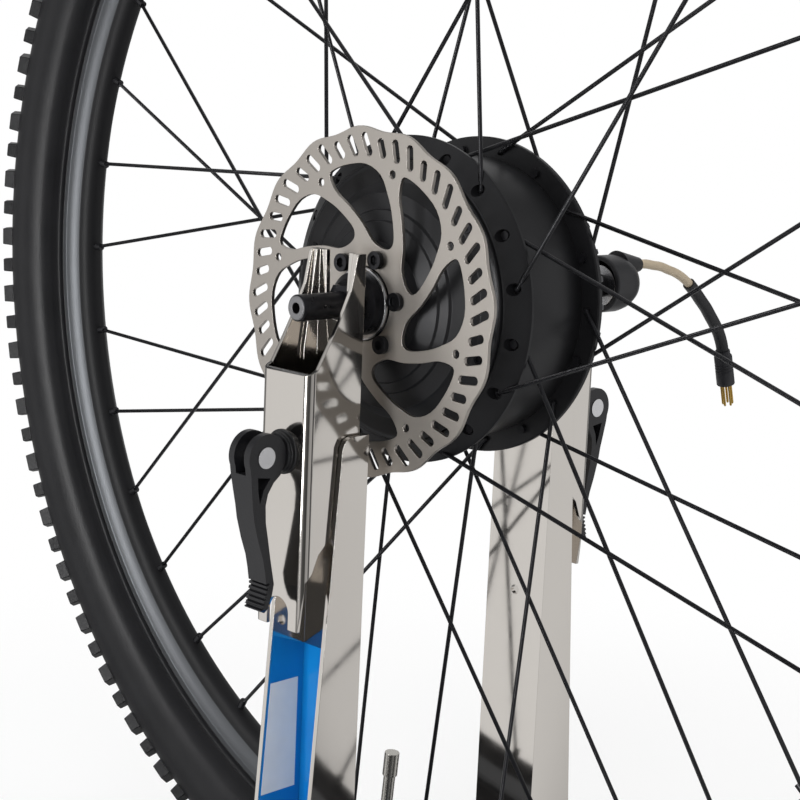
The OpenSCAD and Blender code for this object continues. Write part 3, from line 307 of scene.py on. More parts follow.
# Matt white paint near the object, lifted to the background's white for the eye alone; further
# off the sweep is as bright as the background
away = add(tree, "ShaderNodeVectorMath", {0: where}, operation="LENGTH")
fade = add(tree, "ShaderNodeMapRange", {
    "Value": away.outputs["Value"], "From Min": fade_start, "From Max": fade_end},
    interpolation_type="SMOOTHSTEP")
matt = add(tree, "ShaderNodeBsdfDiffuse", {"Color": (0.86, 0.86, 0.86, 1)})
glow = add(tree, "ShaderNodeEmission", {"Color": plain_white, "Strength": 1.0})
dimmer = add(tree, "ShaderNodeBsdfDiffuse", {"Color": (0.5, 0.5, 0.5, 1)})
lift = add(tree, "ShaderNodeEmission", {"Color": plain_white, "Strength": 0.48})
lifted = add(tree, "ShaderNodeAddShader", {0: dimmer, 1: lift})
eye = add(tree, "ShaderNodeLightPath")
near = add(tree, "ShaderNodeMixShader", {0: eye.outputs["Is Camera Ray"], 1: matt, 2: lifted})
bright = add(tree, "ShaderNodeMixShader", {0: fade, 1: near, 2: glow})
shaded = add(tree, "ShaderNodeEmission", {"Color": levels_round(tree, where), "Strength": 1.0})
both = add(tree, "ShaderNodeMixShader", {0: eye.outputs["Is Glossy Ray"], 1: bright, 2: shaded})
add(tree, "ShaderNodeOutputMaterial", {"Surface": both})
floor.data.materials.append(paint)

sky = bpy.data.worlds.new("sweep")
scene.world = sky
sky.use_nodes = True
tree = sky.node_tree
tree.nodes.clear()
way = add(tree, "ShaderNodeTexCoord")
gaps = levels_round(tree, way.outputs["Generated"])
path = add(tree, "ShaderNodeLightPath")
shown = add(tree, "ShaderNodeBackground", {"Color": plain_white, "Strength": 1.0})
mirrored = add(tree, "ShaderNodeBackground", {"Color": gaps, "Strength": 1.0})
lighting = add(tree, "ShaderNodeBackground", {"Color": plain_white, "Strength": 0.42})
unseen = add(tree, "ShaderNodeMixShader", {0: path.outputs["Is Glossy Ray"], 1: lighting, 2: mirrored})
air = add(tree, "ShaderNodeMixShader", {0: path.outputs["Is Camera Ray"], 1: unseen, 2: shown})
add(tree, "ShaderNodeOutputWorld", {"Surface": air})
scene.view_settings.view_transform = "Standard"

for name, spot, aim, wide, tall, power, mirrored_too in [
        ("box_left", (-1.4, -1.2, 1.4), (0, 0, 0.4), 1.1, 1.1, 11, False),
        ("box_right", (1.3, -1.7, 1.2), (0, 0, 0.4), 1.0, 1.0, 11, False),
        ("box_top", (0.1, 0.2, 2.2), (0, 0, 0.3), 1.3, 1.3, 14, False),
        ("box_back", (1.2, 1.6, 1.1), (0, 0, 0.45), 1.2, 1.2, 8, False),
        ("side_panel", (-1.9, 0.14, 0.55), (0, 0.1, 0.42), 0.42, 1.4, 20, True)]:
    lamp = bpy.data.lights.new(name, "AREA")
    lamp.shape = "RECTANGLE"
    lamp.size = wide
    lamp.size_y = tall
    lamp.energy = power
    box = bpy.data.objects.new(name, lamp)
    scene.collection.objects.link(box)
    box.location = spot
    box.visible_glossy = mirrored_too
    box.rotation_euler = (Vector(aim) - Vector(spot)).to_track_quat("-Z", "Y").to_euler()

# ---------- base ----------
# A folded steel channel with bolting rails, powder coated blue grey, on four rubber feet. Two
# zinc-plated hinge pins carry the uprights and a long screw with a plastic knob opens them.
flat_within = 0.5


def dressed(name, edge, angle=32, steps=2):
    """A new piece from a CAD node's shape: welded, its flats rejoined, its edges rounded."""
    mesh = nodes[name].data.copy()
    mesh.materials.clear()
    mesh.transform(nodes[name].matrix_world)
    piece = bpy.data.objects.new(name + "_piece", mesh)
    scene.collection.objects.link(piece)
    only(piece)
    bpy.ops.object.mode_set(mode="EDIT")
    bpy.ops.mesh.select_all(action="SELECT")
    bpy.ops.mesh.remove_doubles(threshold=weld_within)
    bpy.ops.mesh.dissolve_limited(angle_limit=math.radians(flat_within))
    bpy.ops.mesh.select_all(action="SELECT")
    bpy.ops.mesh.normals_make_consistent(inside=False)
    bpy.ops.object.mode_set(mode="OBJECT")
    return soften(piece, edge, angle, steps)


coat, tree, where = finish("powder_coated_steel")
# Powder coat: orange peel a few millimetres across and a soft gloss, slightly uneven
peel = add(tree, "ShaderNodeTexNoise", {"Vector": where, "Scale": 1000 / 1.8, "Detail": 2})
relief = add(tree, "ShaderNodeBump", {"Height": peel, "Strength": 0.25, "Distance": 0.0002})
cloud = add(tree, "ShaderNodeTexNoise", {"Vector": where, "Scale": 1000 / 60, "Detail": 3})
tone = add(tree, "ShaderNodeMix", {0: cloud, 6: colour("#39495b"), 7: colour("#42566b")}, data_type="RGBA")
shader = add(tree, "ShaderNodeBsdfPrincipled", {
    "Base Color": tone.outputs[2], "Roughness": 0.42, "Normal": relief})
add(tree, "ShaderNodeOutputMaterial", {"Surface": shader})
for name in ("base_tray", "base_rails"):
    put(dressed(name, 0.6), "base", coat, "base_sheet", name)

tread_pad, tree, where = finish("moulded_rubber_feet")
# Moulded rubber: dull black with dust in its pores
pore = add(tree, "ShaderNodeTexNoise", {"Vector": where, "Scale": 1000 / 0.7, "Detail": 3})
tone = add(tree, "ShaderNodeMix", {0: pore, 6: colour("#19191a"), 7: colour("#29292a")}, data_type="RGBA")
shader = add(tree, "ShaderNodeBsdfPrincipled", {"Base Color": tone.outputs[2], "Roughness": 0.8})
add(tree, "ShaderNodeOutputMaterial", {"Surface": shader})
put(dressed("base_feet", 0.8), "base", tread_pad, "foot_rubber", "base_feet")

zinc, tree, where = finish("bright_zinc_on_steel")
# Bright zinc over drawn bar: fine lines, cloudy lustre
cloud = add(tree, "ShaderNodeTexNoise", {"Vector": where, "Scale": 1000 / 4, "Detail": 4})
sheen = add(tree, "ShaderNodeMapRange", {"Value": cloud, "To Min": 0.22, "To Max": 0.42})
tone = add(tree, "ShaderNodeMix", {0: cloud, 6: colour("#a9a9ad"), 7: colour("#d2d2d4")}, data_type="RGBA")
shader = add(tree, "ShaderNodeBsdfPrincipled", {
    "Base Color": tone.outputs[2], "Metallic": 1.0, "Roughness": sheen})
add(tree, "ShaderNodeOutputMaterial", {"Surface": shader})
put(dressed("hinge_pins", 0.5), "base", zinc, "zinc_steel", "hinge_pins")
put(dressed("width_screw", 0.4), "screw", zinc, "zinc_steel", "width_screw")

grip, tree, where = finish("moulded_knob_plastic")
# Glass-filled nylon: satin black with a fine pitted grain
grain = add(tree, "ShaderNodeTexNoise", {"Vector": where, "Scale": 1000 / 0.4, "Detail": 2})
relief = add(tree, "ShaderNodeBump", {"Height": grain, "Strength": 0.2, "Distance": 0.0002})
shader = add(tree, "ShaderNodeBsdfPrincipled", {
    "Base Color": colour("#1c1c1e"), "Roughness": 0.45, "Normal": relief})
add(tree, "ShaderNodeOutputMaterial", {"Surface": shader})
put(dressed("screw_knob", 1.6, 32, 4), "screw", grip, "knob_plastic", "screw_knob")

# ---------- axle ----------
# A steel axle turned down at both ends, black oxide, drilled through for the motor's wires. The
# locknuts are black too; the washers and the wheel nut are bright.
axle_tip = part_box("axle")[0][0]
end_face_depth = 0.0004
oxide, tree, where = finish("black_oxide_steel")
# Black oxide on turned steel: dark with a blue-brown cast and oily, patchy gloss, and a lighter
# grey on its end face
patch = add(tree, "ShaderNodeTexNoise", {"Vector": where, "Scale": 1000 / 5, "Detail": 4})
tone = add(tree, "ShaderNodeMix", {0: patch, 6: colour("#19191b"), 7: colour("#3a3a3e")}, data_type="RGBA")
sheen = add(tree, "ShaderNodeMapRange", {"Value": patch, "To Min": 0.2, "To Max": 0.4})
apart = add(tree, "ShaderNodeSeparateXYZ", {"Vector": where})
end_face = add(tree, "ShaderNodeMath", {0: apart.outputs["X"], 1: axle_tip + end_face_depth},
               operation="LESS_THAN")
# The end face is mixed to a lighter grey
end_face_grey = add(tree, "ShaderNodeMix", {0: end_face, 6: tone.outputs[2], 7: colour("#8a8a8c")}, data_type="RGBA")
shader = add(tree, "ShaderNodeBsdfPrincipled", {
    "Base Color": end_face_grey.outputs[2], "Metallic": 0.75, "Roughness": sheen})
add(tree, "ShaderNodeOutputMaterial", {"Surface": shader})
put(dressed("axle", 0.15, 40), "base", oxide, "axle_black", "axle")
put(dressed("axle_locknuts", 0.4, 25), "base", oxide, "axle_black", "axle_locknuts")

bright, tree, where = finish("bright_plated_washers")
# Nickel on pressed steel: clean, slightly brushed round the axle
brush = add(tree, "ShaderNodeTexNoise", {"Vector": where, "Scale": 1000 / 1.2, "Detail": 3})
sheen = add(tree, "ShaderNodeMapRange", {"Value": brush, "To Min": 0.12, "To Max": 0.3})
shader = add(tree, "ShaderNodeBsdfPrincipled", {
    "Base Color": colour("#dcdcde"), "Metallic": 1.0, "Roughness": sheen})
add(tree, "ShaderNodeOutputMaterial", {"Surface": shader})
put(dressed("axle_washers", 0.25), "base", bright, "washer_steel", "axle_washers")
put(dressed("axle_nut", 0.5, 25), "base", bright, "washer_steel", "axle_nut")

boot_rubber, tree, where = finish("moulded_rubber_boot")
# Moulded rubber: satin black, a faint bloom on top, a soft skin texture
bloom = add(tree, "ShaderNodeTexNoise", {"Vector": where, "Scale": 1000 / 8, "Detail": 4})
tone = add(tree, "ShaderNodeMix", {0: bloom, 6: colour("#18181a"), 7: colour("#2b2b2e")}, data_type="RGBA")
grain = add(tree, "ShaderNodeTexNoise", {"Vector": where, "Scale": 1000 / 0.35, "Detail": 2})
relief = add(tree, "ShaderNodeBump", {"Height": grain, "Strength": 0.18, "Distance": 0.0002})
shader = add(tree, "ShaderNodeBsdfPrincipled", {
    "Base Color": tone.outputs[2], "Roughness": 0.4, "Normal": relief})
add(tree, "ShaderNodeOutputMaterial", {"Surface": shader})
put(dressed("cable_boot", 0.5, 34, 3), "base", boot_rubber, "boot_rubber", "cable_boot")

# ---------- inside the motor ----------
# The slotted core, magnet ring and bearings are closed in by the covers and only show when the
# motor is taken apart, so they keep their plain shapes.
core, tree, where = finish("varnished_laminations")
# Stacked laminations under varnish: thin lines along the axle, brown and glossy
stack = add(tree, "ShaderNodeTexWave", {"Vector": where, "Scale": 1000 / 3, "Distortion": 0.4})
tone = add(tree, "ShaderNodeMix", {0: stack, 6: colour("#5a3720"), 7: colour("#7d4f30")}, data_type="RGBA")
shader = add(tree, "ShaderNodeBsdfPrincipled", {"Base Color": tone.outputs[2], "Roughness": 0.35})
add(tree, "ShaderNodeOutputMaterial", {"Surface": shader})
wear(core, "stator")

magnet, tree, where = finish("nickel_plated_magnet")
# Nickel on sintered magnet: bright with soft blotches
blotch = add(tree, "ShaderNodeTexNoise", {"Vector": where, "Scale": 1000 / 5, "Detail": 2})
sheen = add(tree, "ShaderNodeMapRange", {"Value": blotch, "To Min": 0.2, "To Max": 0.4})
shader = add(tree, "ShaderNodeBsdfPrincipled", {
    "Base Color": colour("#a8a8aa"), "Metallic": 1.0, "Roughness": sheen})
add(tree, "ShaderNodeOutputMaterial", {"Surface": shader})
wear(magnet, "magnet_ring")

ground, tree, where = finish("ground_bearing_steel")
# Ground bearing steel: even and bright with hairline grinding marks
mark = add(tree, "ShaderNodeTexNoise", {"Vector": where, "Scale": 1000 / 0.6, "Detail": 3})
sheen = add(tree, "ShaderNodeMapRange", {"Value": mark, "To Min": 0.15, "To Max": 0.28})
shader = add(tree, "ShaderNodeBsdfPrincipled", {
    "Base Color": colour("#cfcfd1"), "Metallic": 1.0, "Roughness": sheen})
add(tree, "ShaderNodeOutputMaterial", {"Surface": shader})
wear(ground, "hub_bearings")

# ---------- tyre and tube ----------
# A moulded rubber tyre: a round casing with a rib beside the rim, plain walls and moulded
# knobs. Every row of knobs is one block modelled once and set round the casing by copies.
axle_z = 400
hub_centre = at(0, 0, axle_z)
casing_mid, casing_r, bore_r = 321, 26.75, 23.75
casing_sides = 200
knobs_round, knob_seat, knob_high = 62, 25.9, 6.0
top_taper, dish_margin, dish_slope = (0.86, 0.9, 1), 0.0012, 0.0004

rubber, tree, where = finish("moulded_tyre_rubber")
# Vulcanised tread rubber: dull charcoal with a grey bloom, fine mould grain and faint mottling
bloom = add(tree, "ShaderNodeTexNoise", {"Vector": where, "Scale": 1000 / 22, "Detail": 5})
tone = add(tree, "ShaderNodeMix", {0: bloom, 6: colour("#161618"), 7: colour("#222224")}, data_type="RGBA")
grain = add(tree, "ShaderNodeTexNoise", {"Vector": where, "Scale": 1000 / 0.6, "Detail": 3})
relief = add(tree, "ShaderNodeBump", {"Height": grain, "Strength": 0.3, "Distance": 0.0003})
sheen = add(tree, "ShaderNodeMapRange", {"Value": bloom, "To Min": 0.32, "To Max": 0.4})
shader = add(tree, "ShaderNodeBsdfPrincipled", {
    "Base Color": tone.outputs[2], "Roughness": sheen, "Normal": relief, "Specular IOR Level": 0.28})
add(tree, "ShaderNodeOutputMaterial", {"Surface": shader})


def on_casing(angle, radius):
    """A (radius, height) point of the tyre section at an angle from the crown."""
    from_crown = math.radians(angle)
    return (casing_mid + radius * math.cos(from_crown), radius * math.sin(from_crown))


bead_side = [(292.2, 6.2), (292.2, 7.6), (295.6, 9.7), (298.9, 9.7), (299.1, 12.6), (299.5, 13.4),
             (300.3, 13.9), (301.2, 13.8), (301.7, 14.4)]
flank = [(302.1, 16.8), (303.1, 19.0), (304.7, 21.0), (306.6, 22.6), (308.8, 23.8)]
wall = [on_casing(angle, casing_r) for angle in range(113, 2, -5)]
outer = bead_side + flank + wall
outer += [(r, -h) for r, h in reversed(outer)]
inner = [on_casing(angle, bore_r) for angle in range(-106, 107, 8)]
tyre = turned("tyre_casing", outer + inner, casing_sides, hub_centre)
soften(tyre, 0, 40)


def knob_block(name, wide, long, high, hollow):
    """One tread block, its top drawn in a little and dished, its top edges rounded."""
    bpy.ops.mesh.primitive_cube_add(size=0.001)
    block = bpy.context.object
    block.name = block.data.name = name
    block.data.transform(Matrix.Diagonal((wide, long, high, 1)))
    block.data.transform(Matrix.Translation(at(0, 0, high / 2)))
    bpy.ops.object.mode_set(mode="EDIT")
    bpy.ops.mesh.select_mode(type="FACE")
    bpy.ops.mesh.select_all(action="DESELECT")
    shape = bmesh.from_edit_mesh(block.data)
    for face in shape.faces:
        face.select = face.normal.z > 0.9
    bmesh.update_edit_mesh(block.data)
    bpy.ops.transform.resize(value=top_taper, center_override=(0, 0, high * 0.001))
    bpy.ops.mesh.inset(thickness=dish_margin)
    bpy.ops.mesh.inset(thickness=dish_slope)
    bpy.ops.transform.translate(value=(0, 0, -hollow * 0.001))
    bpy.ops.object.mode_set(mode="OBJECT")
    return soften(block, 0.45, 40, 1)


rows = []
seat = Matrix.Translation(at(0, 0, knob_seat))
for name, crown, wide, long, hollow, shift in [
        ("shoulder_wide", 45, 11.0, 10.4, 0.5, 0.0), ("shoulder_narrow", 46, 8.2, 8.2, 0.8, 0.5),
        ("inner", 11, 7.0, 8.8, 0.4, 0.25), ("centre", 0, 9.0, 7.4, 0.6, 0.75)]:
    block = knob_block(name, wide, long, knob_high, hollow)
    for lean in ((crown, -crown) if crown else (0,)):
        for number in range(knobs_round):
            copy = bpy.data.objects.new(name, block.data.copy())
            scene.collection.objects.link(copy)
            round_by = math.radians((number + shift) * 360 / knobs_round - 90)
            copy.data.transform(
                Matrix.Translation(hub_centre) @ Matrix.Rotation(round_by, 4, "X")
                @ Matrix.Translation(at(0, 0, casing_mid)) @ Matrix.Rotation(math.radians(lean), 4, "Y")
                @ seat)
            rows.append(copy)
    bpy.data.objects.remove(block)
only(tyre)
for copy in rows:
    copy.select_set(True)
bpy.ops.object.join()
put(tyre, "wheel", rubber, "tyre_rubber", "tyre")

butyl, tree, where = finish("butyl_tube")
# Butyl rubber: black with talc streaks
talc = add(tree, "ShaderNodeTexNoise", {"Vector": where, "Scale": 1000 / 12, "Detail": 4})
tone = add(tree, "ShaderNodeMix", {0: talc, 6: colour("#161616"), 7: colour("#2e2e2e")}, data_type="RGBA")
shader = add(tree, "ShaderNodeBsdfPrincipled", {"Base Color": tone.outputs[2], "Roughness": 0.6})
add(tree, "ShaderNodeOutputMaterial", {"Surface": shader})
wear(butyl, "inner_tube")

tape, tree, where = finish("woven_rim_tape")
# Nylon tape: a fine weave seen as a light ripple
weave = add(tree, "ShaderNodeTexWave", {"Vector": where, "Scale": 1000 / 2, "Distortion": 0.5})
tone = add(tree, "ShaderNodeMix", {0: weave, 6: colour("#303032"), 7: colour("#404042")}, data_type="RGBA")
shader = add(tree, "ShaderNodeBsdfPrincipled", {"Base Color": tone.outputs[2], "Roughness": 0.7})
add(tree, "ShaderNodeOutputMaterial", {"Surface": shader})
wear(tape, "rim_tape")

# ---------- rim, valve, spokes and nipples ----------
# A rolled and pinned aluminium rim, anodised black, with a slanted inner wall and a rounded nose.
# Black stainless spokes cross twice on each side and end in short black nipples.
nose_mid, nose_r = 288.1, 7
rim_sides = 240
# Where the nose's black gives way to the wall's grey painted reflection, in metres from the axle
nose_end, wall_start = 0.2883, 0.2888
anodised, tree, where = finish("black_anodised_rim")
# Anodised extrusion: soft near-black on the rounded nose; the slanted wall is smoother and more metallic,
# and its lighter grey is a painted reflection. Faint drawing lines run round the rim
apart = add(tree, "ShaderNodeSeparateXYZ", {"Vector": where})
line = add(tree, "ShaderNodeTexNoise", {"W": apart.outputs["X"], "Scale": 1000 / 0.5, "Detail": 2},
           noise_dimensions="1D")
relief = add(tree, "ShaderNodeBump", {"Height": line, "Strength": 0.1, "Distance": 0.0002})
from_axle = add(tree, "ShaderNodeVectorMath", {0: where, 1: hub_centre}, operation="SUBTRACT")
reach = add(tree, "ShaderNodeVectorMath", {0: from_axle.outputs["Vector"]}, operation="LENGTH")
wall_gloss_and_painted_reflection = add(tree, "ShaderNodeMapRange", {
    "Value": reach.outputs["Value"], "From Min": nose_end, "From Max": wall_start})
# The wall's grey base colour is a painted reflection on the one black finish; its higher metal and lower
# roughness are the finish
tone = add(tree, "ShaderNodeMix", {0: wall_gloss_and_painted_reflection, 6: colour("#161618"), 7: colour("#56585b")}, data_type="RGBA")
metal = add(tree, "ShaderNodeMapRange", {"Value": wall_gloss_and_painted_reflection, "To Min": 0.1, "To Max": 0.6})
dull = add(tree, "ShaderNodeMapRange", {"Value": wall_gloss_and_painted_reflection, "To Min": 0.52, "To Max": 0.36})
shader = add(tree, "ShaderNodeBsdfPrincipled", {
    "Base Color": tone.outputs[2], "Metallic": metal, "Roughness": dull, "Normal": relief,
    "Specular IOR Level": 0.35})
add(tree, "ShaderNodeOutputMaterial", {"Surface": shader})
rim_side = [(289, 5.5), (292, 6.5), (292, 7.7), (295.5, 9.9), (298.2, 9.9), (298.5, 10.2), (298.5, 11.1),
            (298.1, 11.5), (295.4, 11.5), (294.9, 11.2), (294.5, 10.7), (288.5, 7.15)]
for angle in range(6, 87, 8):
    round_nose = math.radians(angle)
    rim_side.append((nose_mid - nose_r * math.sin(round_nose), nose_r * math.cos(round_nose)))
rim = turned("rim_hoop", rim_side + [(r, -h) for r, h in reversed(rim_side)], rim_sides, hub_centre)
soften(rim, 0, 28)
put(rim, "wheel", anodised, "rim_black", "rim")

nickel, tree, where = finish("nickel_plated_valve")
# Nickel on turned brass: bright, with fine thread-like rings
ring = add(tree, "ShaderNodeTexNoise", {"Vector": where, "Scale": 1000 / 0.8, "Detail": 2})
sheen = add(tree, "ShaderNodeMapRange", {"Value": ring, "To Min": 0.18, "To Max": 0.35})
shader = add(tree, "ShaderNodeBsdfPrincipled", {
    "Base Color": colour("#c9c6c0"), "Metallic": 1.0, "Roughness": sheen})
add(tree, "ShaderNodeOutputMaterial", {"Surface": shader})
put(dressed("valve", 0.3), "wheel", nickel, "valve_metal", "valve")

wire, tree, where = finish("black_stainless_spokes")
# Blackened drawn wire: glossy enough for a thin grey highlight down each spoke
mark = add(tree, "ShaderNodeTexNoise", {"Vector": where, "Scale": 1000 / 3, "Detail": 3})
tone = add(tree, "ShaderNodeMix", {0: mark, 6: colour("#17171a"), 7: colour("#2c2c2f")}, data_type="RGBA")
shader = add(tree, "ShaderNodeBsdfPrincipled", {
    "Base Color": tone.outputs[2], "Metallic": 0.4, "Roughness": 0.3})
add(tree, "ShaderNodeOutputMaterial", {"Surface": shader})
for name in ("left_spokes", "right_spokes"):
    put(dressed(name, 0, 50), "wheel", wire, "spoke_black", name)

nipple_metal, tree, where = finish("black_brass_nipples")
# Blackened brass: dark and glossy, worn lighter at the flats
rub = add(tree, "ShaderNodeTexNoise", {"Vector": where, "Scale": 1000 / 1.5, "Detail": 3})
tone = add(tree, "ShaderNodeMix", {0: rub, 6: colour("#1c1c1e"), 7: colour("#3c3c3f")}, data_type="RGBA")
shader = add(tree, "ShaderNodeBsdfPrincipled", {
    "Base Color": tone.outputs[2], "Metallic": 0.6, "Roughness": 0.26})
add(tree, "ShaderNodeOutputMaterial", {"Surface": shader})
put(dressed("nipples", 0.2, 40), "wheel", nipple_metal, "nipple_black", "nipples")

# ---------- hub shell and covers ----------
# A turned aluminium shell with two spoke flanges and a stepped cover on each side, satin black
# anodised. Six small socket screws hold each cover.
shell_finish, tree, where = finish("satin_anodised_shell")
# Bead-blasted, anodised aluminium: satin black with a fine even grain, drawn a little coarser
# than the real one so that it shows
blast = add(tree, "ShaderNodeTexNoise", {"Vector": where, "Scale": 1000 / 0.3, "Detail": 2})
relief = add(tree, "ShaderNodeBump", {"Height": blast, "Strength": 0.12, "Distance": 0.0001})
cloud = add(tree, "ShaderNodeTexNoise", {"Vector": where, "Scale": 1000 / 30, "Detail": 3})
tone = add(tree, "ShaderNodeMix", {0: cloud, 6: colour("#1e1e20"), 7: colour("#2a2a2c")}, data_type="RGBA")
shader = add(tree, "ShaderNodeBsdfPrincipled", {
    "Base Color": tone.outputs[2], "Metallic": 0.35, "Roughness": 0.36, "Normal": relief})
add(tree, "ShaderNodeOutputMaterial", {"Surface": shader})
for name, edge in (("hub_shell", 0.25), ("disc_cover", 0.35), ("drive_cover", 0.3)):
    put(dressed(name, edge, 30), "wheel", shell_finish, "shell_black", name)

screw_finish, tree, where = finish("black_socket_screws")
# Black oxide on cold-headed steel: dark and oily with bright rubs at the sockets
rub = add(tree, "ShaderNodeTexNoise", {"Vector": where, "Scale": 1000 / 1.2, "Detail": 3})
sheen = add(tree, "ShaderNodeMapRange", {"Value": rub, "To Min": 0.14, "To Max": 0.3})
shader = add(tree, "ShaderNodeBsdfPrincipled", {
    "Base Color": colour("#3a3a3d"), "Metallic": 0.9, "Roughness": sheen})
add(tree, "ShaderNodeOutputMaterial", {"Surface": shader})
put(dressed("cover_screws", 0.15, 30), "wheel", screw_finish, "screw_black", "cover_screws")

# ---------- brake rotor ----------
# A rotor cut from ground stainless sheet, with slots round its track, eight arms and a wavy
# edge, held by six button-headed bolts.
stainless, tree, where = finish("ground_stainless_rotor")
# Rotary-ground stainless: warm bright grey with fine rings round the track, drawn coarser than
# the real grinding so that they show
from_axle = add(tree, "ShaderNodeVectorMath", {0: where, 1: hub_centre}, operation="SUBTRACT")
reach = add(tree, "ShaderNodeVectorMath", {0: from_axle.outputs["Vector"]}, operation="LENGTH")
rings = add(tree, "ShaderNodeTexNoise", {"W": reach.outputs["Value"], "Scale": 1000 / 0.35, "Detail": 3},
            noise_dimensions="1D")
relief = add(tree, "ShaderNodeBump", {"Height": rings, "Strength": 0.12, "Distance": 0.0001})
sheen = add(tree, "ShaderNodeMapRange", {"Value": rings, "To Min": 0.28, "To Max": 0.42})
shader = add(tree, "ShaderNodeBsdfPrincipled", {
    "Base Color": colour("#bdb7b0"), "Metallic": 1.0, "Roughness": sheen, "Normal": relief,
    "Anisotropic": 0.4})
add(tree, "ShaderNodeOutputMaterial", {"Surface": shader})
put(dressed("brake_rotor", 0.18, 35), "wheel", stainless, "rotor_steel", "brake_rotor")
put(dressed("rotor_bolts", 0.5, 35, 3), "wheel", screw_finish, "screw_black", "rotor_bolts")

# ---------- freehub and sprockets ----------
# A splined freehub body in satin alloy carries eight stamped steel sprockets with plastic
# spacers between them and a lockring on the end.
freehub_metal, tree, where = finish("satin_freehub_alloy")
# Turned aluminium: satin with fine turning lines
lines = add(tree, "ShaderNodeTexNoise", {"Vector": where, "Scale": 1000 / 0.7, "Detail": 3})
sheen = add(tree, "ShaderNodeMapRange", {"Value": lines, "To Min": 0.25, "To Max": 0.4})
shader = add(tree, "ShaderNodeBsdfPrincipled", {
    "Base Color": colour("#b4b4b7"), "Metallic": 1.0, "Roughness": sheen})
add(tree, "ShaderNodeOutputMaterial", {"Surface": shader})
put(dressed("freehub_body", 0.15), "cassette", freehub_metal, "freehub_alloy", "freehub_body")
put(dressed("lockring", 0.2), "cassette", freehub_metal, "freehub_alloy", "lockring")

cog_metal, tree, where = finish("dark_nickel_sprockets")
# Stamped steel under dark nickel: smoky grey, brighter where the chain has rubbed
rub = add(tree, "ShaderNodeTexNoise", {"Vector": where, "Scale": 1000 / 4, "Detail": 4})
tone = add(tree, "ShaderNodeMix", {0: rub, 6: colour("#4c4c4f"), 7: colour("#77777a")}, data_type="RGBA")
sheen = add(tree, "ShaderNodeMapRange", {"Value": rub, "To Min": 0.25, "To Max": 0.45})
shader = add(tree, "ShaderNodeBsdfPrincipled", {
    "Base Color": tone.outputs[2], "Metallic": 1.0, "Roughness": sheen})
add(tree, "ShaderNodeOutputMaterial", {"Surface": shader})
for teeth in (34, 28, 24, 21, 18, 15, 13, 11):
    name = f"sprocket_{teeth}"
    put(dressed(name, 0.15, 35), "cassette", cog_metal, "cog_steel", name)

spacer_stuff, tree, where = finish("moulded_spacers")
# Moulded acetal: smooth dull black
grain = add(tree, "ShaderNodeTexNoise", {"Vector": where, "Scale": 1000 / 0.6, "Detail": 2})
sheen = add(tree, "ShaderNodeMapRange", {"Value": grain, "To Min": 0.45, "To Max": 0.6})
shader = add(tree, "ShaderNodeBsdfPrincipled", {"Base Color": colour("#202022"), "Roughness": sheen})
add(tree, "ShaderNodeOutputMaterial", {"Surface": shader})
wear(spacer_stuff, "sprocket_spacers")

# ---------- uprights, extensions and dropouts ----------
# Pressed steel channels in bright chrome. Each extension slides on its upright and carries a
# welded inner channel with the open slot that the axle drops into. The left upright wears a
# blue vinyl film round its web and flanges, with a plain white panel on each flange.
upright_top, web_face, flange_in = 343.6, -66.95, 16.35
flange_reach, flange_flare = 79.1, 0.072
label_foot, label_head, label_head_at_web, label_thick = 150, 245, 238, 0.12
panel_foot, panel_head, panel_side, panel_thick = 168, 222, 16.2, 0.08
panel_past_rim, panel_off_web = 0.6, 3.4
chrome, tree, where = finish("bright_chrome_plate")
# Decorative chrome over pressed sheet: a clear mirror with slight waviness from the press
ripple = add(tree, "ShaderNodeTexNoise", {"Vector": where, "Scale": 1000 / 45, "Detail": 1})
relief = add(tree, "ShaderNodeBump", {"Height": ripple, "Strength": 0.05, "Distance": 0.002})
smear = add(tree, "ShaderNodeTexNoise", {"Vector": where, "Scale": 1000 / 9, "Detail": 4})
sheen = add(tree, "ShaderNodeMapRange", {"Value": smear, "To Min": 0.05, "To Max": 0.12})
shader = add(tree, "ShaderNodeBsdfPrincipled", {
    "Base Color": colour("#dcd7d1"), "Metallic": 1.0, "Roughness": sheen, "Normal": relief})
add(tree, "ShaderNodeOutputMaterial", {"Surface": shader})
for hand in ("left", "right"):
    for part, edge in (("upright", 0.5), ("extension", 0.5), ("dropout", 0.4)):
        name = hand + "_" + part
        put(dressed(name, edge, 32, 3), hand + "_arm", chrome, "chrome_sheet", name)

vinyl, tree, where = finish("printed_vinyl_label")
# Gloss vinyl film: flat blue ink with a slow shift in tone, shiny and very slightly rippled
cloud = add(tree, "ShaderNodeTexNoise", {"Vector": where, "Scale": 1000 / 25, "Detail": 2})
tone = add(tree, "ShaderNodeMix", {0: cloud, 6: colour("#0a68b8"), 7: colour("#0c84cc")}, data_type="RGBA")
relief = add(tree, "ShaderNodeBump", {"Height": cloud, "Strength": 0.1, "Distance": 0.0003})
shader = add(tree, "ShaderNodeBsdfPrincipled", {
    "Base Color": tone.outputs[2], "Roughness": 0.28, "Normal": relief, "Coat Weight": 0.4})
add(tree, "ShaderNodeOutputMaterial", {"Surface": shader})

white_film, tree, where = finish("white_vinyl_panel")
# White film: clean, with a faint grey mottle and the same gloss
cloud = add(tree, "ShaderNodeTexNoise", {"Vector": where, "Scale": 1000 / 15, "Detail": 2})
tone = add(tree, "ShaderNodeMix", {0: cloud, 6: colour("#d9dad9"), 7: colour("#efefec")}, data_type="RGBA")
shader = add(tree, "ShaderNodeBsdfPrincipled", {"Base Color": tone.outputs[2], "Roughness": 0.3})
add(tree, "ShaderNodeOutputMaterial", {"Surface": shader})


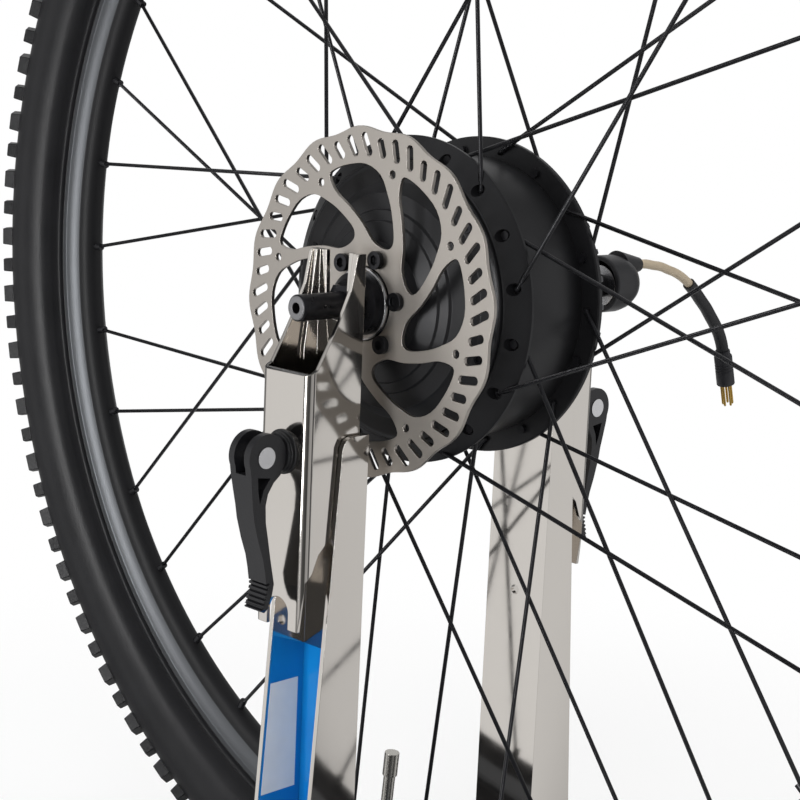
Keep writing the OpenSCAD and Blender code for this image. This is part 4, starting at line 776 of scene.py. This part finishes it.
def film(name, corners, columns, skin):
    """A thin film: rows of corners from its bottom edge up, thickened evenly to both sides."""
    bpy.ops.mesh.primitive_grid_add(x_subdivisions=columns - 1, y_subdivisions=len(corners) // columns - 1)
    piece = bpy.context.object
    piece.name = piece.data.name = name
    for vertex, corner in zip(piece.data.vertices, corners):
        vertex.co = at(*corner)
    thick = piece.modifiers.new("thickness", "SOLIDIFY")
    thick.thickness = skin * 0.001
    thick.offset = 0
    bpy.ops.object.modifier_apply(modifier=thick.name)
    bpy.ops.object.mode_set(mode="EDIT")
    bpy.ops.mesh.select_all(action="SELECT")
    bpy.ops.mesh.normals_make_consistent(inside=False)
    bpy.ops.object.mode_set(mode="OBJECT")
    return piece


def flange_rim(height):
    """How far out the left upright's flanges reach at a height."""
    return -(flange_reach + flange_flare * (upright_top - height))


label_rows = []
for outer_z, inner_z in ((label_foot, label_foot), (label_head, label_head_at_web)):
    label_rows += [(flange_rim(outer_z), flange_in, outer_z), (web_face, flange_in, inner_z),
                   (web_face, -flange_in, inner_z), (flange_rim(outer_z), -flange_in, outer_z)]
put(film("upright_label", label_rows, 4, label_thick), "left_arm", vinyl)
for which, y in (("far", panel_side), ("near", -panel_side)):
    panel = []
    for z in (panel_foot, panel_head):
        panel += [(flange_rim(z) + panel_past_rim, y, z), (web_face - panel_off_web, y, z)]
    put(film(which + "_label_panel", panel, 2, panel_thick), "left_arm", white_film)

# ---------- clamps and screw nuts ----------
# Each clamp is a zinc skewer through both sheets, a ridged black collar, a bright barrel pin and
# a cast lever with a satin black finish. Brass barrel nuts join the uprights to the screw.
fork_gap, fork_out, fork_up = (26, 6.6, 21), 5, 3
groove_count, groove_cut, groove_lean = 6, (8, 30, 0.95), 12
first_groove_out, first_groove_up = -1.9, -69.4
next_groove_out, next_groove_up = -0.6, 2.2
collar_stuff, tree, where = finish("moulded_collar")
# Moulded nylon: satin black with a fine grain
grain = add(tree, "ShaderNodeTexNoise", {"Vector": where, "Scale": 1000 / 0.3, "Detail": 2})
sheen = add(tree, "ShaderNodeMapRange", {"Value": grain, "To Min": 0.32, "To Max": 0.45})
shader = add(tree, "ShaderNodeBsdfPrincipled", {"Base Color": colour("#1b1b1d"), "Roughness": sheen})
add(tree, "ShaderNodeOutputMaterial", {"Surface": shader})

pin_metal, tree, where = finish("turned_steel_pins")
# Turned and plated steel: bright, with fine rings on its ends
lines = add(tree, "ShaderNodeTexNoise", {"Vector": where, "Scale": 1000 / 0.6, "Detail": 2})
sheen = add(tree, "ShaderNodeMapRange", {"Value": lines, "To Min": 0.14, "To Max": 0.3})
shader = add(tree, "ShaderNodeBsdfPrincipled", {
    "Base Color": colour("#dedee0"), "Metallic": 1.0, "Roughness": sheen})
add(tree, "ShaderNodeOutputMaterial", {"Surface": shader})

brass, tree, where = finish("plain_turned_brass")
# Bare brass: warm and dulled by handling
tarnish = add(tree, "ShaderNodeTexNoise", {"Vector": where, "Scale": 1000 / 5, "Detail": 4})
tone = add(tree, "ShaderNodeMix", {0: tarnish, 6: colour("#8f7440"), 7: colour("#c3a05c")}, data_type="RGBA")
shader = add(tree, "ShaderNodeBsdfPrincipled", {
    "Base Color": tone.outputs[2], "Metallic": 1.0, "Roughness": 0.32})
add(tree, "ShaderNodeOutputMaterial", {"Surface": shader})

cast, tree, where = finish("painted_cast_lever")
# Cast alloy under satin black paint: softly glossy, its casting skin just showing through
skin = add(tree, "ShaderNodeTexNoise", {"Vector": where, "Scale": 1000 / 1.5, "Detail": 3})
relief = add(tree, "ShaderNodeBump", {"Height": skin, "Strength": 0.15, "Distance": 0.0003})
shader = add(tree, "ShaderNodeBsdfPrincipled", {
    "Base Color": colour("#17171a"), "Roughness": 0.34, "Normal": relief})
add(tree, "ShaderNodeOutputMaterial", {"Surface": shader})


def carve(piece, centre, sizes, lean):
    """Cuts a box-shaped gap, leant about the Y axis by an angle, out of a piece."""
    bpy.ops.mesh.primitive_cube_add(size=0.001)
    block = bpy.context.object
    block.data.transform(Matrix.Translation(at(*centre)) @ Matrix.Rotation(math.radians(lean), 4, "Y")
                         @ Matrix.Diagonal((*sizes, 1)))
    only(piece)
    cut = piece.modifiers.new("gap", "BOOLEAN")
    cut.operation = "DIFFERENCE"
    cut.solver = "EXACT"
    cut.object = block
    bpy.ops.object.modifier_apply(modifier=cut.name)
    bpy.data.objects.remove(block)


for hand in ("left", "right"):
    arm = hand + "_arm"
    put(dressed(hand + "_skewer", 0.3), arm, zinc, "zinc_steel", hand + "_skewer")
    put(dressed(hand + "_cam_washer", 0.2), arm, collar_stuff, "collar_black", hand + "_cam_washer")
    put(dressed(hand + "_lever_pin", 0.5), arm, pin_metal, "pin_steel", hand + "_lever_pin")
    put(dressed(hand + "_screw_nut", 0.4), arm, brass, "nut_brass", hand + "_screw_nut")
    low, high = (Vector(corner) * 1000 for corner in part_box(hand + "_lever_pin"))
    pin = (low + high) / 2
    out_to = -1 if hand == "left" else 1
    lever = dressed(hand + "_lever", 0)
    carve(lever, (pin.x + fork_out * out_to, 0, pin.z + fork_up), fork_gap, 0)
    for groove in range(groove_count):
        bottom = first_groove_out + next_groove_out * groove
        height = first_groove_up + next_groove_up * groove
        middle = (pin.x + (bottom + groove_cut[0] / 2) * out_to, 0, pin.z + height)
        carve(lever, middle, groove_cut, groove_lean * out_to)
    put(soften(lever, 0.45), hand + "_clamp", cast, "lever_black", hand + "_lever")
